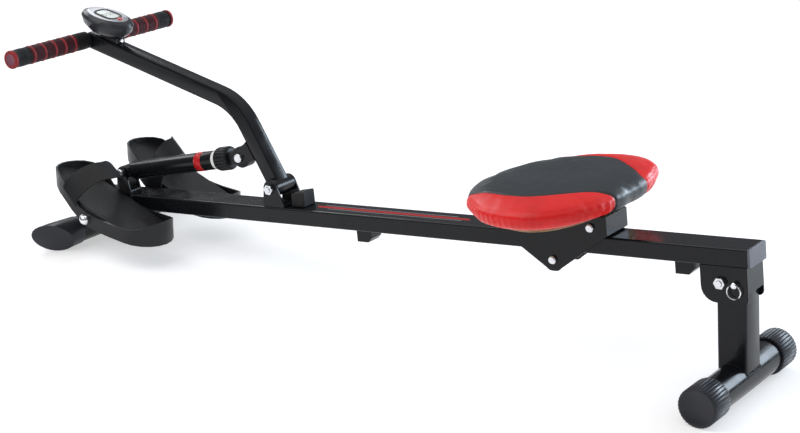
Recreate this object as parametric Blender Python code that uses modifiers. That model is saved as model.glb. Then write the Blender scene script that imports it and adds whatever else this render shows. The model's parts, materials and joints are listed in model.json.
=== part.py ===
"""Folding rowing machine with a hydraulic arm, a rolling seat and two sandal pedals.

Metres, +Z up. +X is the rear of the machine (the folding leg), -X the front (the pedals), and the
machine is symmetric about Y = 0. The floor is Z = 0, and the origin is on the floor, halfway between
the front of the grips and the back of the rear feet.
"""
import math

import bmesh
import bpy
from mathutils import Matrix, Vector

# ---- Driving dimensions -------------------------------------------------------------------------
GAP = 0.0003            # between faces that touch
RUN = 0.0005            # running clearance beside moving faces

RAIL_LENGTH = 1.406
RAIL_WIDTH = 0.060
RAIL_HEIGHT = 0.030
RAIL_WALL = 0.0020
RAIL_CORNER = 0.0030
RAIL_REAR_HEIGHT = 0.2563            # top face, at the rear end
RAIL_FRONT_HEIGHT = 0.08276          # top face, at the front end
RAIL_SLOPE = math.asin((RAIL_REAR_HEIGHT - RAIL_FRONT_HEIGHT) / RAIL_LENGTH)
PLUG_FLANGE = 0.0040
PLUG_DEPTH = 0.020

BRACKET_WALL = 0.0030

LEG_DEPTH = 0.050                    # along X
LEG_WIDTH = 0.050                    # along Y
LEG_WALL = 0.0020
LEG_CORNER = 0.0040
LEG_LEAN = math.radians(4.5)         # the foot leans rearwards
LEG_PIVOT_S = -(LEG_DEPTH + 0.0013)  # along the rail, from its rear end
LEG_PIVOT_H = -0.0568                # above the rail's top face
LEG_PIVOT_INSET = 0.0094             # from the post's front face
LOCK_PIN_OFFSET = 0.0248             # behind the leg pivot
LEG_TOP = 0.0100                     # post above its pivot
LEG_BRACKET_DROP = 0.060             # cheeks below the rail
LEG_BRACKET_LENGTH = LEG_DEPTH + 0.0300
LEG_BRACKET_END = 0.0060             # web from the rail's rear end
LEG_WEB_DROP = 0.0420
REAR_TUBE_RADIUS = 0.0285
REAR_CAP_RADIUS = 0.0330
REAR_FOOT_WIDTH = 0.2946             # over the caps
REAR_CAP_LENGTH = 0.050
FOOT_TUBE_WALL = 0.0020
CAP_WALL = 0.0030

FRONT_TUBE_RADIUS = 0.0254
FRONT_CAP_RADIUS = 0.0300
FRONT_FOOT_WIDTH = 0.334             # between the middles of the slanted cap faces
FRONT_CAP_LENGTH = 0.060
FRONT_CAP_RAKE = 0.85                # the cap's face: sideways per metre rearwards
FRONT_CAP_DIP = 0.50                 # and per metre downwards

AXLE_S = 0.1025 - RAIL_LENGTH        # pedal axle, from the rail's rear end
AXLE_RADIUS = 0.0060
AXLE_OVERHANG = 0.0060               # past the footbed, under the cap nut
CAP_NUT_RADIUS = 0.0105
CAP_NUT_LENGTH = 0.0140

PEDAL_INNER = 0.0440                 # footbed's inner side, from the middle plane
PEDAL_WIDTH = 0.108
PEDAL_HEEL = 0.154                   # behind the axle
PEDAL_TOE = 0.112                    # in front of it
PEDAL_WALL = 0.0040
STRAP_THICKNESS = 0.0030
STRAP_SLANT = 1.25                   # over 1 flattens the outer half of the strap's arch
TOE_ROUND = 0.075                    # length of the rounded toe
HEEL_ROUND = 0.058                   # and of the rounded heel
# Heights above the axle, by distance in front of it.
SOLE_LOW = [(-PEDAL_HEEL, -0.034), (-0.090, -0.028), (-0.037, -0.022), (0.0, -0.014), (0.029, 0.004),
            (0.055, 0.027), (0.086, 0.043), (PEDAL_TOE, 0.058)]
SOLE_RIM = [(-PEDAL_HEEL, 0.012), (-0.120, 0.000), (-0.060, 0.002), (0.013, 0.018), (0.030, 0.037),
            (0.048, 0.059), (0.075, 0.074), (PEDAL_TOE, 0.078)]
SOLE_THICKNESS = 0.0050
SOLE_FLOOR = [(-PEDAL_HEEL, -0.018), (-0.090, -0.013), (-0.045, -0.004), (0.0, 0.0105), (0.040, 0.030),
              (0.065, 0.051), (0.090, 0.063), (PEDAL_TOE, 0.070)]
# The strap's edges: (forward, up) of the outer foot, the top and the inner foot.
STRAP_REAR = ((0.021, 0.022), (-0.023, 0.070), (-0.014, -0.006))
STRAP_FRONT = ((0.051, 0.054), (0.006, 0.097), (0.018, 0.012))

ARM_SIZE = 0.0304
ARM_WALL = 0.0020
ARM_CORNER = 0.0040
ARM_BEND_RADIUS = 0.105
ARM_PIVOT_S = 0.4615 - RAIL_LENGTH
ARM_PIVOT_H = 0.0340
ARM_LOWER_ANGLE = math.radians(123.8)   # from +X, pivot towards bend
ARM_UPPER_ANGLE = math.radians(169.0)   # from +X, bend towards handlebar
ARM_LOWER_LENGTH = 0.1690               # pivot to the corner of the two straights
ARM_UPPER_LENGTH = 0.3728               # corner to the handlebar
SLEEVE_RADIUS = 0.0165
SLEEVE_BORE = 0.0110
SLEEVE_LENGTH = 0.0500
BUSH_BORE = 0.0053
PIVOT_BOLT_RADIUS = 0.0050
ARM_BRACKET_LENGTH = 0.048
ARM_BRACKET_FRONT = 0.0205              # from the pivot to its front edge
ARM_BRACKET_EAR = 0.0160                # radius of the ears' tops
ARM_BRACKET_STEP = 0.0060               # upright ends of the ears

BUMPER_FRONT = 0.0370                   # behind the arm's pivot
BUMPER_LENGTH = 0.0290
BUMPER_WIDTH = 0.0340
BUMPER_HEIGHT = 0.0290
BUMPER_SLANT = math.radians(9.5)

BAR_RADIUS = 0.0125
BAR_WALL = 0.0015
GRIP_RADIUS = 0.0173
BAR_SPAN = 0.4260                       # over the end plugs
PLUG_HEAD = 0.0060
GRIP_INNER = 0.0170                     # grip's inner end, from the middle plane

CYL_FRONT_S = 0.0724 - RAIL_LENGTH
CYL_FRONT_H = 0.0376
CYL_REAR_FORE = 0.0835                  # rod eye in front of the arm's pivot
CYL_REAR_RISE = 0.0410                  # and above it
CYL_BODY_RADIUS = 0.0180
CYL_WALL = 0.0025
CYL_EYE_RADIUS = 0.0130
CYL_EYE_WIDTH = 0.0240
CYL_BRACKET_LENGTH = 0.0360
CYL_BODY_START = 0.0240                 # from the front eye
ROD_RADIUS = 0.0060
PISTON_LENGTH = 0.0150
GLAND_LENGTH = 0.0120
CYL_END_WALL = 0.0060
PISTON_ROOM = 0.0060                    # behind the piston when the cylinder is closed
RING_LENGTH = 0.0080
KNOB_RADIUS = 0.0225
KNOB_LENGTH = 0.0320
HUB_RADIUS = 0.0200
HUB_WIDTH = 0.0220
HUB_NECK_RADIUS = 0.0125
HUB_REACH = 0.0300                      # hub's middle to the knob
CLEVIS_RADIUS = 0.0120
CLEVIS_PIN_RADIUS = 0.0045
CLEVIS_HEAD_RADIUS = 0.0085
BOLT_HEAD_HEIGHT = 0.0060
PIN_HEAD_RADIUS = 0.0050
PIN_HEAD_LENGTH = 0.0080
PIN_EYE_RADIUS = 0.0024
RING_RADIUS = 0.0115
RING_WIRE_RADIUS = 0.0010

SEAT_S = -0.3480                        # middle of the seat along the rail
SEAT_LENGTH = 0.2816
SEAT_HALF_WIDTH = 0.1886
SEAT_TAPER = 0.156                      # wider towards the rear
SEAT_ROUND = 2.13                       # superellipse power of its outline
SEAT_BASE_H = 0.0480                    # cushion's underside above the rail
SEAT_RIM_H = 0.0710
SEAT_CROWN_H = 0.0865
BOARD_THICKNESS = 0.0120
BOARD_INSET = 0.0450
CARRIAGE_WALL = 0.0030
CARRIAGE_HALF_LENGTH = 0.1045
CARRIAGE_TOP_H = 0.0345
CARRIAGE_LOW_H = 0.0030                 # foot of the straight ends
CARRIAGE_TIP_H = -0.0640
CARRIAGE_TIP_HALF = 0.0100
ROLLER_SPREAD = 0.0750                  # upper axles from the seat's middle
UPPER_ROLLER_RADIUS = 0.0150
LOWER_ROLLER_RADIUS = 0.0140
ROLLER_AXLE_RADIUS = 0.0040
ROLLER_FIT = 0.0004

STOP_FRONT_S = -0.7500
STOP_REAR_S = -0.1200
STOP_LENGTH = 0.0320
STOP_WIDTH = 0.0300
STOP_DROP = 0.0240
STOP_FLANGE = 0.0040

CONSOLE_LENGTH = 0.1160                 # along the arm
CONSOLE_WIDTH = 0.0780
CONSOLE_HEIGHT = 0.0370
CONSOLE_TILT = math.radians(10.0)
CONSOLE_BACK = 0.0450                   # its middle, behind the handlebar
CONSOLE_RISE = 0.0530                   # its top face above the handlebar
LENS_LENGTH = 0.0440
LENS_WIDTH = 0.0300
BUTTON_RADIUS = 0.0050
BUTTON_TRAVEL = 0.0012

ROUND_STEPS = 28
SMALL_STEPS = 16

# ---- Sizes that follow ---------------------------------------------------------------------------
ALONG = Vector((math.cos(RAIL_SLOPE), 0.0, math.sin(RAIL_SLOPE)))
NORMAL = Vector((-math.sin(RAIL_SLOPE), 0.0, math.cos(RAIL_SLOPE)))


def on_rail(s, h, y=0.0):
    """World point s behind the rail's rear end (negative is forwards) and h above its top face."""
    return ORIGIN + ALONG * s + NORMAL * h + Vector((0.0, y, 0.0))


ORIGIN = Vector((0.0, 0.0, RAIL_REAR_HEIGHT))
_leg_pivot = on_rail(LEG_PIVOT_S, LEG_PIVOT_H)
_leg_down = Vector((math.sin(LEG_LEAN), 0.0, -math.cos(LEG_LEAN)))
_leg_back = Vector((math.cos(LEG_LEAN), 0.0, math.sin(LEG_LEAN)))
_leg_axis_point = _leg_pivot + _leg_back * (LEG_DEPTH / 2 - LEG_PIVOT_INSET)
LEG_LENGTH = (_leg_axis_point.z - REAR_CAP_RADIUS) / math.cos(LEG_LEAN)
_rear_foot = _leg_axis_point + _leg_down * LEG_LENGTH
_arm_pivot = on_rail(ARM_PIVOT_S, ARM_PIVOT_H)


def heading(angle):
    """Unit vector in the middle plane, its angle from +X."""
    return Vector((math.cos(angle), 0.0, math.sin(angle)))


_corner = _arm_pivot + heading(ARM_LOWER_ANGLE) * ARM_LOWER_LENGTH
_bar = _corner + heading(ARM_UPPER_ANGLE) * ARM_UPPER_LENGTH
# The grips are foremost and the rear caps rearmost, so they centre the machine.
X_SHIFT = -((_bar.x - GRIP_RADIUS) + (_rear_foot.x + REAR_CAP_RADIUS)) / 2
ORIGIN = Vector((X_SHIFT, 0.0, RAIL_REAR_HEIGHT))

LEG_PIVOT = on_rail(LEG_PIVOT_S, LEG_PIVOT_H)
REAR_FOOT = _rear_foot + Vector((X_SHIFT, 0.0, 0.0))
ARM_PIVOT = on_rail(ARM_PIVOT_S, ARM_PIVOT_H)
ARM_CORNER_POINT = ARM_PIVOT + heading(ARM_LOWER_ANGLE) * ARM_LOWER_LENGTH
BAR = ARM_CORNER_POINT + heading(ARM_UPPER_ANGLE) * ARM_UPPER_LENGTH
AXLE = on_rail(AXLE_S, -RAIL_HEIGHT / 2)
CYL_FRONT = on_rail(CYL_FRONT_S, CYL_FRONT_H)
CYL_REAR = ARM_PIVOT + Vector((-CYL_REAR_FORE, 0.0, CYL_REAR_RISE))
CYL_SPAN = (CYL_REAR - CYL_FRONT).length
CYL_ANGLE = math.atan2(CYL_REAR.z - CYL_FRONT.z, CYL_REAR.x - CYL_FRONT.x)
# The front foot's tube just touches the underside of the sloping rail.
_reach = FRONT_TUBE_RADIUS + GAP
FRONT_FOOT_X = (FRONT_CAP_RADIUS + _reach / math.cos(RAIL_SLOPE) + RAIL_HEIGHT / math.cos(RAIL_SLOPE)
                - RAIL_REAR_HEIGHT) / math.tan(RAIL_SLOPE) + X_SHIFT
FRONT_FOOT = Vector((FRONT_FOOT_X, 0.0, FRONT_CAP_RADIUS))
CHEEK_INNER = LEG_WIDTH / 2 + RUN
CHEEK_OUTER = CHEEK_INNER + BRACKET_WALL
EAR_INNER = SLEEVE_LENGTH / 2 + RUN
EAR_OUTER = EAR_INNER + BRACKET_WALL
PEDAL_OUTER = PEDAL_INNER + PEDAL_WIDTH
PEDAL_MIDDLE = PEDAL_INNER + PEDAL_WIDTH / 2
CARRIAGE_INNER = RAIL_WIDTH / 2 + 0.0015
CARRIAGE_OUTER = CARRIAGE_INNER + CARRIAGE_WALL

# ---- Colours and finishes ------------------------------------------------------------------------
FINISHES = {
    "black_paint": ((0.012, 0.013, 0.015, 1.0), 0.18, 0.0),
    "black_plastic": ((0.020, 0.021, 0.023, 1.0), 0.48, 0.0),
    "black_rubber": ((0.016, 0.016, 0.017, 1.0), 0.75, 0.0),
    "grey_plastic": ((0.30, 0.33, 0.36, 1.0), 0.40, 0.0),
    "zinc": ((0.72, 0.73, 0.75, 1.0), 0.28, 1.0),
    "chrome": ((0.80, 0.81, 0.83, 1.0), 0.10, 1.0),
    "foam": ((0.17, 0.008, 0.010, 1.0), 0.85, 0.0),
    "red_plastic": ((0.55, 0.010, 0.012, 1.0), 0.35, 0.0),
    "white_plastic": ((0.80, 0.80, 0.78, 1.0), 0.40, 0.0),
    "silver_plastic": ((0.62, 0.64, 0.66, 1.0), 0.25, 0.3),
    "display": ((0.36, 0.41, 0.38, 1.0), 0.12, 0.0),
    "vinyl": ((0.030, 0.034, 0.037, 1.0), 0.42, 0.0),
    "plywood": ((0.46, 0.33, 0.20, 1.0), 0.65, 0.0),
    "nylon": ((0.60, 0.60, 0.57, 1.0), 0.50, 0.0),
}


def clear_scene():
    """Remove every object that the file opens with."""
    for thing in list(bpy.data.objects):
        bpy.data.objects.remove(thing, do_unlink=True)


def new_collection(name):
    """Collection linked to the scene."""
    made = bpy.data.collections.new(name)
    bpy.context.scene.collection.children.link(made)
    return made


clear_scene()
MACHINE = new_collection("rowing_machine")
CUTTERS = new_collection("cutters")


def finish(name):
    """Principled material of one named finish, made once."""
    if name in bpy.data.materials:
        return bpy.data.materials[name]
    colour, roughness, metallic = FINISHES[name]
    made = bpy.data.materials.new(name)
    made.use_nodes = True
    shader = made.node_tree.nodes["Principled BSDF"]
    shader.inputs["Base Color"].default_value = colour
    shader.inputs["Roughness"].default_value = roughness
    shader.inputs["Metallic"].default_value = metallic
    made.diffuse_color = colour
    return made


def empty(name, place, angle=0.0):
    """Empty on a joint axis, turned by angle in the middle plane so that its X heads up and back."""
    made = bpy.data.objects.new(name, None)
    made.empty_display_size = 0.03
    made.matrix_world = Matrix.Translation(place) @ Matrix.Rotation(-angle, 4, "Y")
    MACHINE.objects.link(made)
    return made


def add(name, mesh, slot, parent=None, place=(0, 0, 0), turn=(0, 0, 0), smooth=True):
    """Object for one piece, with its own material, in the machine's collection."""
    made = bpy.data.objects.new(name, mesh)
    mesh.materials.clear()
    own = finish(slot).copy()
    own.name = name + "_finish"
    mesh.materials.append(own)
    made.parent = parent
    made.location = place
    made.rotation_euler = turn
    if smooth:
        mesh.shade_smooth()
        mesh.set_sharp_from_angle(angle=math.radians(40))
    MACHINE.objects.link(made)
    return made


def mesh_from(name, bm):
    """Mesh data with outward faces from a bmesh, which it frees."""
    bmesh.ops.recalc_face_normals(bm, faces=bm.faces)
    mesh = bpy.data.meshes.new(name)
    bm.to_mesh(mesh)
    bm.free()
    return mesh


def box_mesh(name, low, high):
    """Box between two corners."""
    bm = bmesh.new()
    bmesh.ops.create_cube(bm, size=1.0)
    low = Vector(low)
    high = Vector(high)
    bmesh.ops.scale(bm, vec=high - low, verts=bm.verts)
    bmesh.ops.translate(bm, vec=(high + low) / 2, verts=bm.verts)
    return mesh_from(name, bm)


def bevel(thing, width, segments=2):
    """Bevel on every sharp edge of a piece."""
    made = thing.modifiers.new("bevel", "BEVEL")
    made.width = width
    made.segments = segments
    made.limit_method = "ANGLE"
    made.angle_limit = math.radians(50)
    return made


def turned(name, profile, slot, parent=None, place=(0, 0, 0), turn=(0, 0, 0), steps=ROUND_STEPS):
    """Piece turned about its own Z from (radius, height) points that run down its outer side."""
    mesh = bpy.data.meshes.new(name)
    closed = profile[0][0] > 0 and profile[-1][0] > 0
    count = len(profile)
    edges = [(i, i + 1) for i in range(count - 1)]
    if closed:
        edges.append((count - 1, 0))
    mesh.from_pydata([(r, 0.0, z) for r, z in profile], edges, [])
    made = add(name, mesh, slot, parent, place, turn, smooth=False)
    screw = made.modifiers.new("turn", "SCREW")
    screw.axis = "Z"
    screw.steps = steps
    screw.render_steps = steps
    screw.use_merge_vertices = True
    screw.merge_threshold = 0.00001
    screw.use_smooth_shade = True
    return made


def ring_profile(outer, inner, low, high, edge=0.0):
    """Section of a plain ring, with its outer edges broken by edge."""
    if edge:
        return [(inner, high), (outer - edge, high), (outer, high - edge),
                (outer, low + edge), (outer - edge, low), (inner, low)]
    return [(inner, high), (outer, high), (outer, low), (inner, low)]


def pin_profile(radius, low, high, edge=0.0):
    """Section of a plain pin."""
    if edge:
        return [(0, high), (radius - edge, high), (radius, high - edge),
                (radius, low + edge), (radius - edge, low), (0, low)]
    return [(0, high), (radius, high), (radius, low), (0, low)]


ACROSS = (math.pi / 2, 0.0, 0.0)      # turns a piece's Z to -Y
SIDES = (("left", -1), ("right", 1))  # the rower's left, as they face the pedals, is -Y


def outwards(sign):
    """Turn that sends a piece's Z out to one side."""
    return (-sign * math.pi / 2, 0.0, 0.0)


def arc(cx, cy, radius, start, end, count):
    """Points on an arc, angles in degrees."""
    return [(cx + radius * math.cos(math.radians(start + (end - start) * i / count)),
             cy + radius * math.sin(math.radians(start + (end - start) * i / count)))
            for i in range(count + 1)]


def circle(cx, cy, radius, count=SMALL_STEPS):
    """Closed circle's points."""
    return arc(cx, cy, radius, 0, 360 * (count - 1) / count, count - 1)


def rounded_rectangle(width, height, corner, steps=3):
    """Outline centred on the origin."""
    x = width / 2 - corner
    y = height / 2 - corner
    return (arc(x, y, corner, 0, 90, steps) + arc(-x, y, corner, 90, 180, steps)
            + arc(-x, -y, corner, 180, 270, steps) + arc(x, -y, corner, 270, 360, steps))


def plate_mesh(name, outlines, thickness):
    """Flat plate from a filled 2D curve: the first outline, less the others, centred on its plane."""
    curve = bpy.data.curves.new(name, "CURVE")
    curve.dimensions = "2D"
    curve.fill_mode = "BOTH"
    curve.extrude = thickness / 2
    for outline in outlines:
        spline = curve.splines.new("POLY")
        spline.points.add(len(outline) - 1)
        for point, (x, y) in zip(spline.points, outline):
            point.co = (x, y, 0.0, 1.0)
        spline.use_cyclic_u = True
    guide = bpy.data.objects.new(name + "_guide", curve)
    CUTTERS.objects.link(guide)
    graph = bpy.context.evaluated_depsgraph_get()
    mesh = bpy.data.meshes.new_from_object(guide.evaluated_get(graph))
    bpy.data.objects.remove(guide, do_unlink=True)
    bm = bmesh.new()
    bm.from_mesh(mesh)
    bmesh.ops.remove_doubles(bm, verts=bm.verts, dist=0.00002)
    bpy.data.meshes.remove(mesh)
    return mesh_from(name, bm)


def moved(mesh, matrix):
    """The mesh, transformed in place."""
    mesh.transform(matrix)
    return mesh


UPRIGHT = Matrix.Rotation(math.pi / 2, 4, "X")        # a plate's Y becomes Z, its normal -Y
LENGTHWISE = Matrix(((0, 0, 1, 0), (1, 0, 0, 0), (0, 1, 0, 0), (0, 0, 0, 1)))   # plate x,y,z to Y,Z,X


def shift(x=0.0, y=0.0, z=0.0):
    """Translation matrix."""
    return Matrix.Translation((x, y, z))


def cutter(name, mesh, parent=None, place=(0, 0, 0), turn=(0, 0, 0)):
    """Hidden piece that only cuts or joins."""
    made = bpy.data.objects.new(name, mesh)
    made.parent = parent
    made.location = place
    made.rotation_euler = turn
    made.hide_render = True
    made.display_type = "WIRE"
    CUTTERS.objects.link(made)
    return made


def cylinder_mesh(name, radius, length, steps=ROUND_STEPS):
    """Cylinder along Y, centred."""
    bm = bmesh.new()
    bmesh.ops.create_cone(bm, cap_ends=True, segments=steps, radius1=radius, radius2=radius, depth=length)
    bmesh.ops.rotate(bm, verts=bm.verts, matrix=Matrix.Rotation(math.pi / 2, 3, "X"))
    return mesh_from(name, bm)


def boolean(thing, tool, operation):
    """Boolean modifier with the exact solver."""
    made = thing.modifiers.new(operation.lower(), "BOOLEAN")
    made.operation = operation
    made.object = tool
    made.solver = "EXACT"
    return made


# ---- Joint frames --------------------------------------------------------------------------------
RAIL = empty("rail_frame", ORIGIN, RAIL_SLOPE)
LEG = empty("leg_axis", LEG_PIVOT, LEG_LEAN)
ARM = empty("arm_axis", ARM_PIVOT)
PEDAL = empty("pedal_axis", AXLE)
DAMPER = empty("cylinder_axis", CYL_FRONT, CYL_ANGLE)
SEAT = empty("seat_axis", on_rail(SEAT_S, 0.0), RAIL_SLOPE)


# ---- Rail and what is fixed to it ----------------------------------------------------------------
def make_rail():
    """Rectangular tube with the axle's holes, its plastic plug and the rubber stops under it."""
    outer = rounded_rectangle(RAIL_WIDTH, RAIL_HEIGHT, RAIL_CORNER)
    inner = rounded_rectangle(RAIL_WIDTH - 2 * RAIL_WALL, RAIL_HEIGHT - 2 * RAIL_WALL,
                              RAIL_CORNER - RAIL_WALL / 2, 2)
    mesh = plate_mesh("main_rail", [outer, inner], RAIL_LENGTH)
    middle = -PLUG_FLANGE - GAP - RAIL_LENGTH / 2
    moved(mesh, shift(middle, 0.0, -RAIL_HEIGHT / 2) @ LENGTHWISE)
    rail = add("main_rail", mesh, "black_paint", RAIL)
    hole = cylinder_mesh("axle_hole", AXLE_RADIUS + GAP, RAIL_WIDTH * 1.5, SMALL_STEPS)
    boolean(rail, cutter("axle_hole", hole, RAIL, (AXLE_S, 0.0, -RAIL_HEIGHT / 2)), "DIFFERENCE")

    plug = plate_mesh("rail_rear_cap", [rounded_rectangle(RAIL_WIDTH, RAIL_HEIGHT, RAIL_CORNER)], PLUG_FLANGE)
    moved(plug, shift(-PLUG_FLANGE / 2, 0.0, -RAIL_HEIGHT / 2) @ LENGTHWISE)
    cap = add("rail_rear_cap", plug, "grey_plastic", RAIL)
    room = 2 * (RAIL_WALL + GAP)
    stem = plate_mesh("cap_stem", [rounded_rectangle(RAIL_WIDTH - room, RAIL_HEIGHT - room, 0.0015, 2)],
                      PLUG_DEPTH)
    moved(stem, shift(-PLUG_FLANGE / 2 - PLUG_DEPTH / 2, 0.0, -RAIL_HEIGHT / 2) @ LENGTHWISE)
    boolean(cap, cutter("cap_stem", stem, RAIL), "UNION")


def make_seat_stop(name, s):
    """Rubber stop under the rail, with a chamfered nose and a thin flange."""
    low = -RAIL_HEIGHT - GAP
    half = STOP_LENGTH / 2
    outline = [(-half, low), (-half, low - STOP_DROP), (half - 0.008, low - STOP_DROP),
               (half, low - STOP_DROP + 0.008), (half, low - STOP_FLANGE),
               (half + 0.008, low - STOP_FLANGE), (half + 0.008, low)]
    mesh = moved(plate_mesh(name, [outline], STOP_WIDTH), UPRIGHT)
    add(name, mesh, "black_rubber", RAIL, (s, 0.0, 0.0))


def make_bumper():
    """Wedge of rubber that the arm lies on when it is pulled right back."""
    front = BUMPER_FRONT
    rear = BUMPER_FRONT + BUMPER_LENGTH
    low_top = BUMPER_HEIGHT - BUMPER_LENGTH * math.tan(BUMPER_SLANT)
    outline = [(front, GAP), (rear, GAP), (rear, BUMPER_HEIGHT), (front, low_top)]
    mesh = moved(plate_mesh("arm_stop_bumper", [outline], BUMPER_WIDTH), UPRIGHT)
    bumper = add("arm_stop_bumper", mesh, "black_rubber", RAIL, (ARM_PIVOT_S, 0.0, 0.0))
    bevel(bumper, 0.0015, 1)


def channel(name, outline, holes, inner, floor, place):
    """U-shaped bracket: a solid of the given side view, hollowed between its ears down to its base."""
    mesh = moved(plate_mesh(name, [outline] + holes, 2 * (inner + BRACKET_WALL)), UPRIGHT)
    bracket = add(name, mesh, "black_paint", RAIL, place)
    room = box_mesh(name + "_room", (-0.1, -inner, floor), (0.1, inner, 0.1))
    boolean(bracket, cutter(name + "_room", room, RAIL, place), "DIFFERENCE")
    return bracket


def make_arm_bracket():
    """Channel welded on the rail: a base and two ears that carry the arm's pivot bolt."""
    front = ARM_BRACKET_FRONT
    rear = ARM_BRACKET_LENGTH - ARM_BRACKET_FRONT
    ear = ARM_BRACKET_EAR
    outline = ([(-front, GAP), (rear, GAP), (rear, GAP + ARM_BRACKET_STEP)]
               + arc(0.0, ARM_PIVOT_H, ear, 20, 180, 8) + [(-front, GAP + ARM_BRACKET_STEP)])
    bolt = circle(0.0, ARM_PIVOT_H, PIVOT_BOLT_RADIUS + GAP)
    channel("arm_bracket", outline, [bolt], EAR_INNER, GAP + BRACKET_WALL, (ARM_PIVOT_S, 0.0, 0.0))


def make_cylinder_bracket():
    """Smaller channel near the rail's front, for the cylinder's front eye."""
    inner = CYL_EYE_WIDTH / 2 + RUN
    outer = inner + BRACKET_WALL
    half = CYL_BRACKET_LENGTH / 2
    outline = [(-half, GAP), (half, GAP)] + arc(0.0, CYL_FRONT_H, CLEVIS_RADIUS, 0, 180, 8)
    hole = circle(0.0, CYL_FRONT_H, CLEVIS_PIN_RADIUS + GAP)
    channel("cylinder_bracket", outline, [hole], inner, GAP + BRACKET_WALL, (CYL_FRONT_S, 0.0, 0.0))
    # The linkage is opened here: each half of the pin ends inside its ear, so the eye can lift out.
    for name, sign in (("cylinder_pin_head", -1), ("cylinder_pin_clip", 1)):
        half_pin(name, inner, outer, RAIL, (CYL_FRONT_S, 0.0, CYL_FRONT_H), outwards(sign))


def half_pin(name, inner, outer, parent, place, aim):
    """Headed stub of a clevis pin that fills one ear."""
    side = outer + GAP
    head = side + BOLT_HEAD_HEIGHT
    profile = [(0, head), (CLEVIS_HEAD_RADIUS - 0.001, head), (CLEVIS_HEAD_RADIUS, head - 0.001),
               (CLEVIS_HEAD_RADIUS, side), (CLEVIS_PIN_RADIUS, side), (CLEVIS_PIN_RADIUS, inner), (0, inner)]
    turned(name, profile, "zinc", parent, place, aim, SMALL_STEPS)


def whole_pin(name, outer, parent, place):
    """Clevis pin along Y with a head at each end."""
    side = outer + GAP
    head = side + BOLT_HEAD_HEIGHT
    wide = CLEVIS_HEAD_RADIUS
    profile = [(0, head), (wide - 0.001, head), (wide, head - 0.001), (wide, side), (CLEVIS_PIN_RADIUS, side),
               (CLEVIS_PIN_RADIUS, -side), (wide, -side), (wide, 0.001 - head), (wide - 0.001, -head), (0, -head)]
    turned(name, profile, "zinc", parent, place, ACROSS, SMALL_STEPS)


def make_leg_bracket():
    """Channel under the rail that holds the leg: two cheeks and a web behind the post."""
    rear = -LEG_BRACKET_END - LEG_PIVOT_S
    front = rear - LEG_BRACKET_LENGTH
    top = -RAIL_HEIGHT - GAP - LEG_PIVOT_H
    low = top - LEG_BRACKET_DROP
    corner = 0.026
    outline = ([(rear, top), (front, top)]
               + arc(front + corner, low + corner, corner, 180, 270, 6)
               + arc(rear - 0.008, low + 0.008, 0.008, 270, 360, 3))
    bolt = circle(0.0, 0.0, PIVOT_BOLT_RADIUS + GAP)
    turn = RAIL_SLOPE - LEG_LEAN
    pin_x = LOCK_PIN_OFFSET * math.cos(turn)
    pin_z = -LOCK_PIN_OFFSET * math.sin(turn)
    pin = circle(pin_x, pin_z, CLEVIS_PIN_RADIUS + GAP)
    mesh = moved(plate_mesh("leg_bracket", [outline, bolt, pin], 2 * CHEEK_OUTER), UPRIGHT)
    place = (LEG_PIVOT_S, 0.0, LEG_PIVOT_H)
    bracket = add("leg_bracket", mesh, "black_paint", RAIL, place)
    room = box_mesh("leg_room", (front - 0.02, -CHEEK_INNER, low - 0.02),
                    (rear - BRACKET_WALL, CHEEK_INNER, top - BRACKET_WALL))
    boolean(bracket, cutter("leg_room", room, RAIL, place), "DIFFERENCE")
    below = box_mesh("under_web", (0.0, -CHEEK_INNER, low - 0.02), (rear + 0.02, CHEEK_INNER, top - LEG_WEB_DROP))
    boolean(bracket, cutter("under_web", below, RAIL, place), "DIFFERENCE")


def make_bolt(name, radius, inner_side, parent, place, head=0.0060):
    """Bolt along Y: its head outside the +Y side, its tip past the nut on the -Y side."""
    side = inner_side + GAP
    tip = -side - 0.0090
    profile = [(0, side + head), (radius * 1.5, side + head), (radius * 1.8, side + head * 0.7),
                (radius * 1.8, side), (radius, side), (radius, tip), (0, tip)]
    flipped = [(r, -z) for r, z in reversed(profile)]
    turned(name, flipped, "zinc", parent, place, ACROSS, SMALL_STEPS)


def make_nut(name, bore, side, parent, place, thickness=0.0070):
    """Hexagon nut on a bolt along Y, against the -Y side."""
    radius = bore * 1.95
    outline = circle(0.0, 0.0, radius, 6)
    hole = circle(0.0, 0.0, bore + GAP, 12)
    mesh = moved(plate_mesh(name, [outline, hole], thickness), shift(y=-side - GAP - thickness / 2) @ UPRIGHT)
    add(name, mesh, "zinc", parent, place, smooth=False)


def make_front_foot():
    """Cross tube that the rail's front end lies on, with two slanted plastic boots."""
    half = FRONT_FOOT_WIDTH / 2 - 0.040
    turned("front_foot_tube", ring_profile(FRONT_TUBE_RADIUS, FRONT_TUBE_RADIUS - FOOT_TUBE_WALL, -half, half),
           "black_paint", None, FRONT_FOOT, ACROSS)
    for side, sign in SIDES:
        inner_end = FRONT_FOOT_WIDTH / 2 - FRONT_CAP_LENGTH
        outer_end = FRONT_FOOT_WIDTH / 2 + 0.040
        socket = half + GAP
        bore = FRONT_TUBE_RADIUS + GAP
        profile = [(0, outer_end), (FRONT_CAP_RADIUS, outer_end),
                   (FRONT_CAP_RADIUS, FRONT_FOOT_WIDTH / 2),
                   (FRONT_TUBE_RADIUS + 0.0018, inner_end), (bore, inner_end), (bore, socket), (0, socket)]
        boot = turned("front_foot_cap_" + side, profile, "black_plastic", None, FRONT_FOOT, outwards(sign))
        size = 0.14
        block = box_mesh("boot_cut", (-size, -size, 0.0), (size, size, size))
        outward = Vector((FRONT_CAP_RAKE, sign, -FRONT_CAP_DIP)).normalized()
        aim = outward.to_track_quat("Z", "Y").to_euler()
        middle = FRONT_FOOT + Vector((0.0, sign * FRONT_FOOT_WIDTH / 2, 0.0))
        boolean(boot, cutter("boot_cut_" + side, block, None, middle, aim), "DIFFERENCE")


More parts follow.
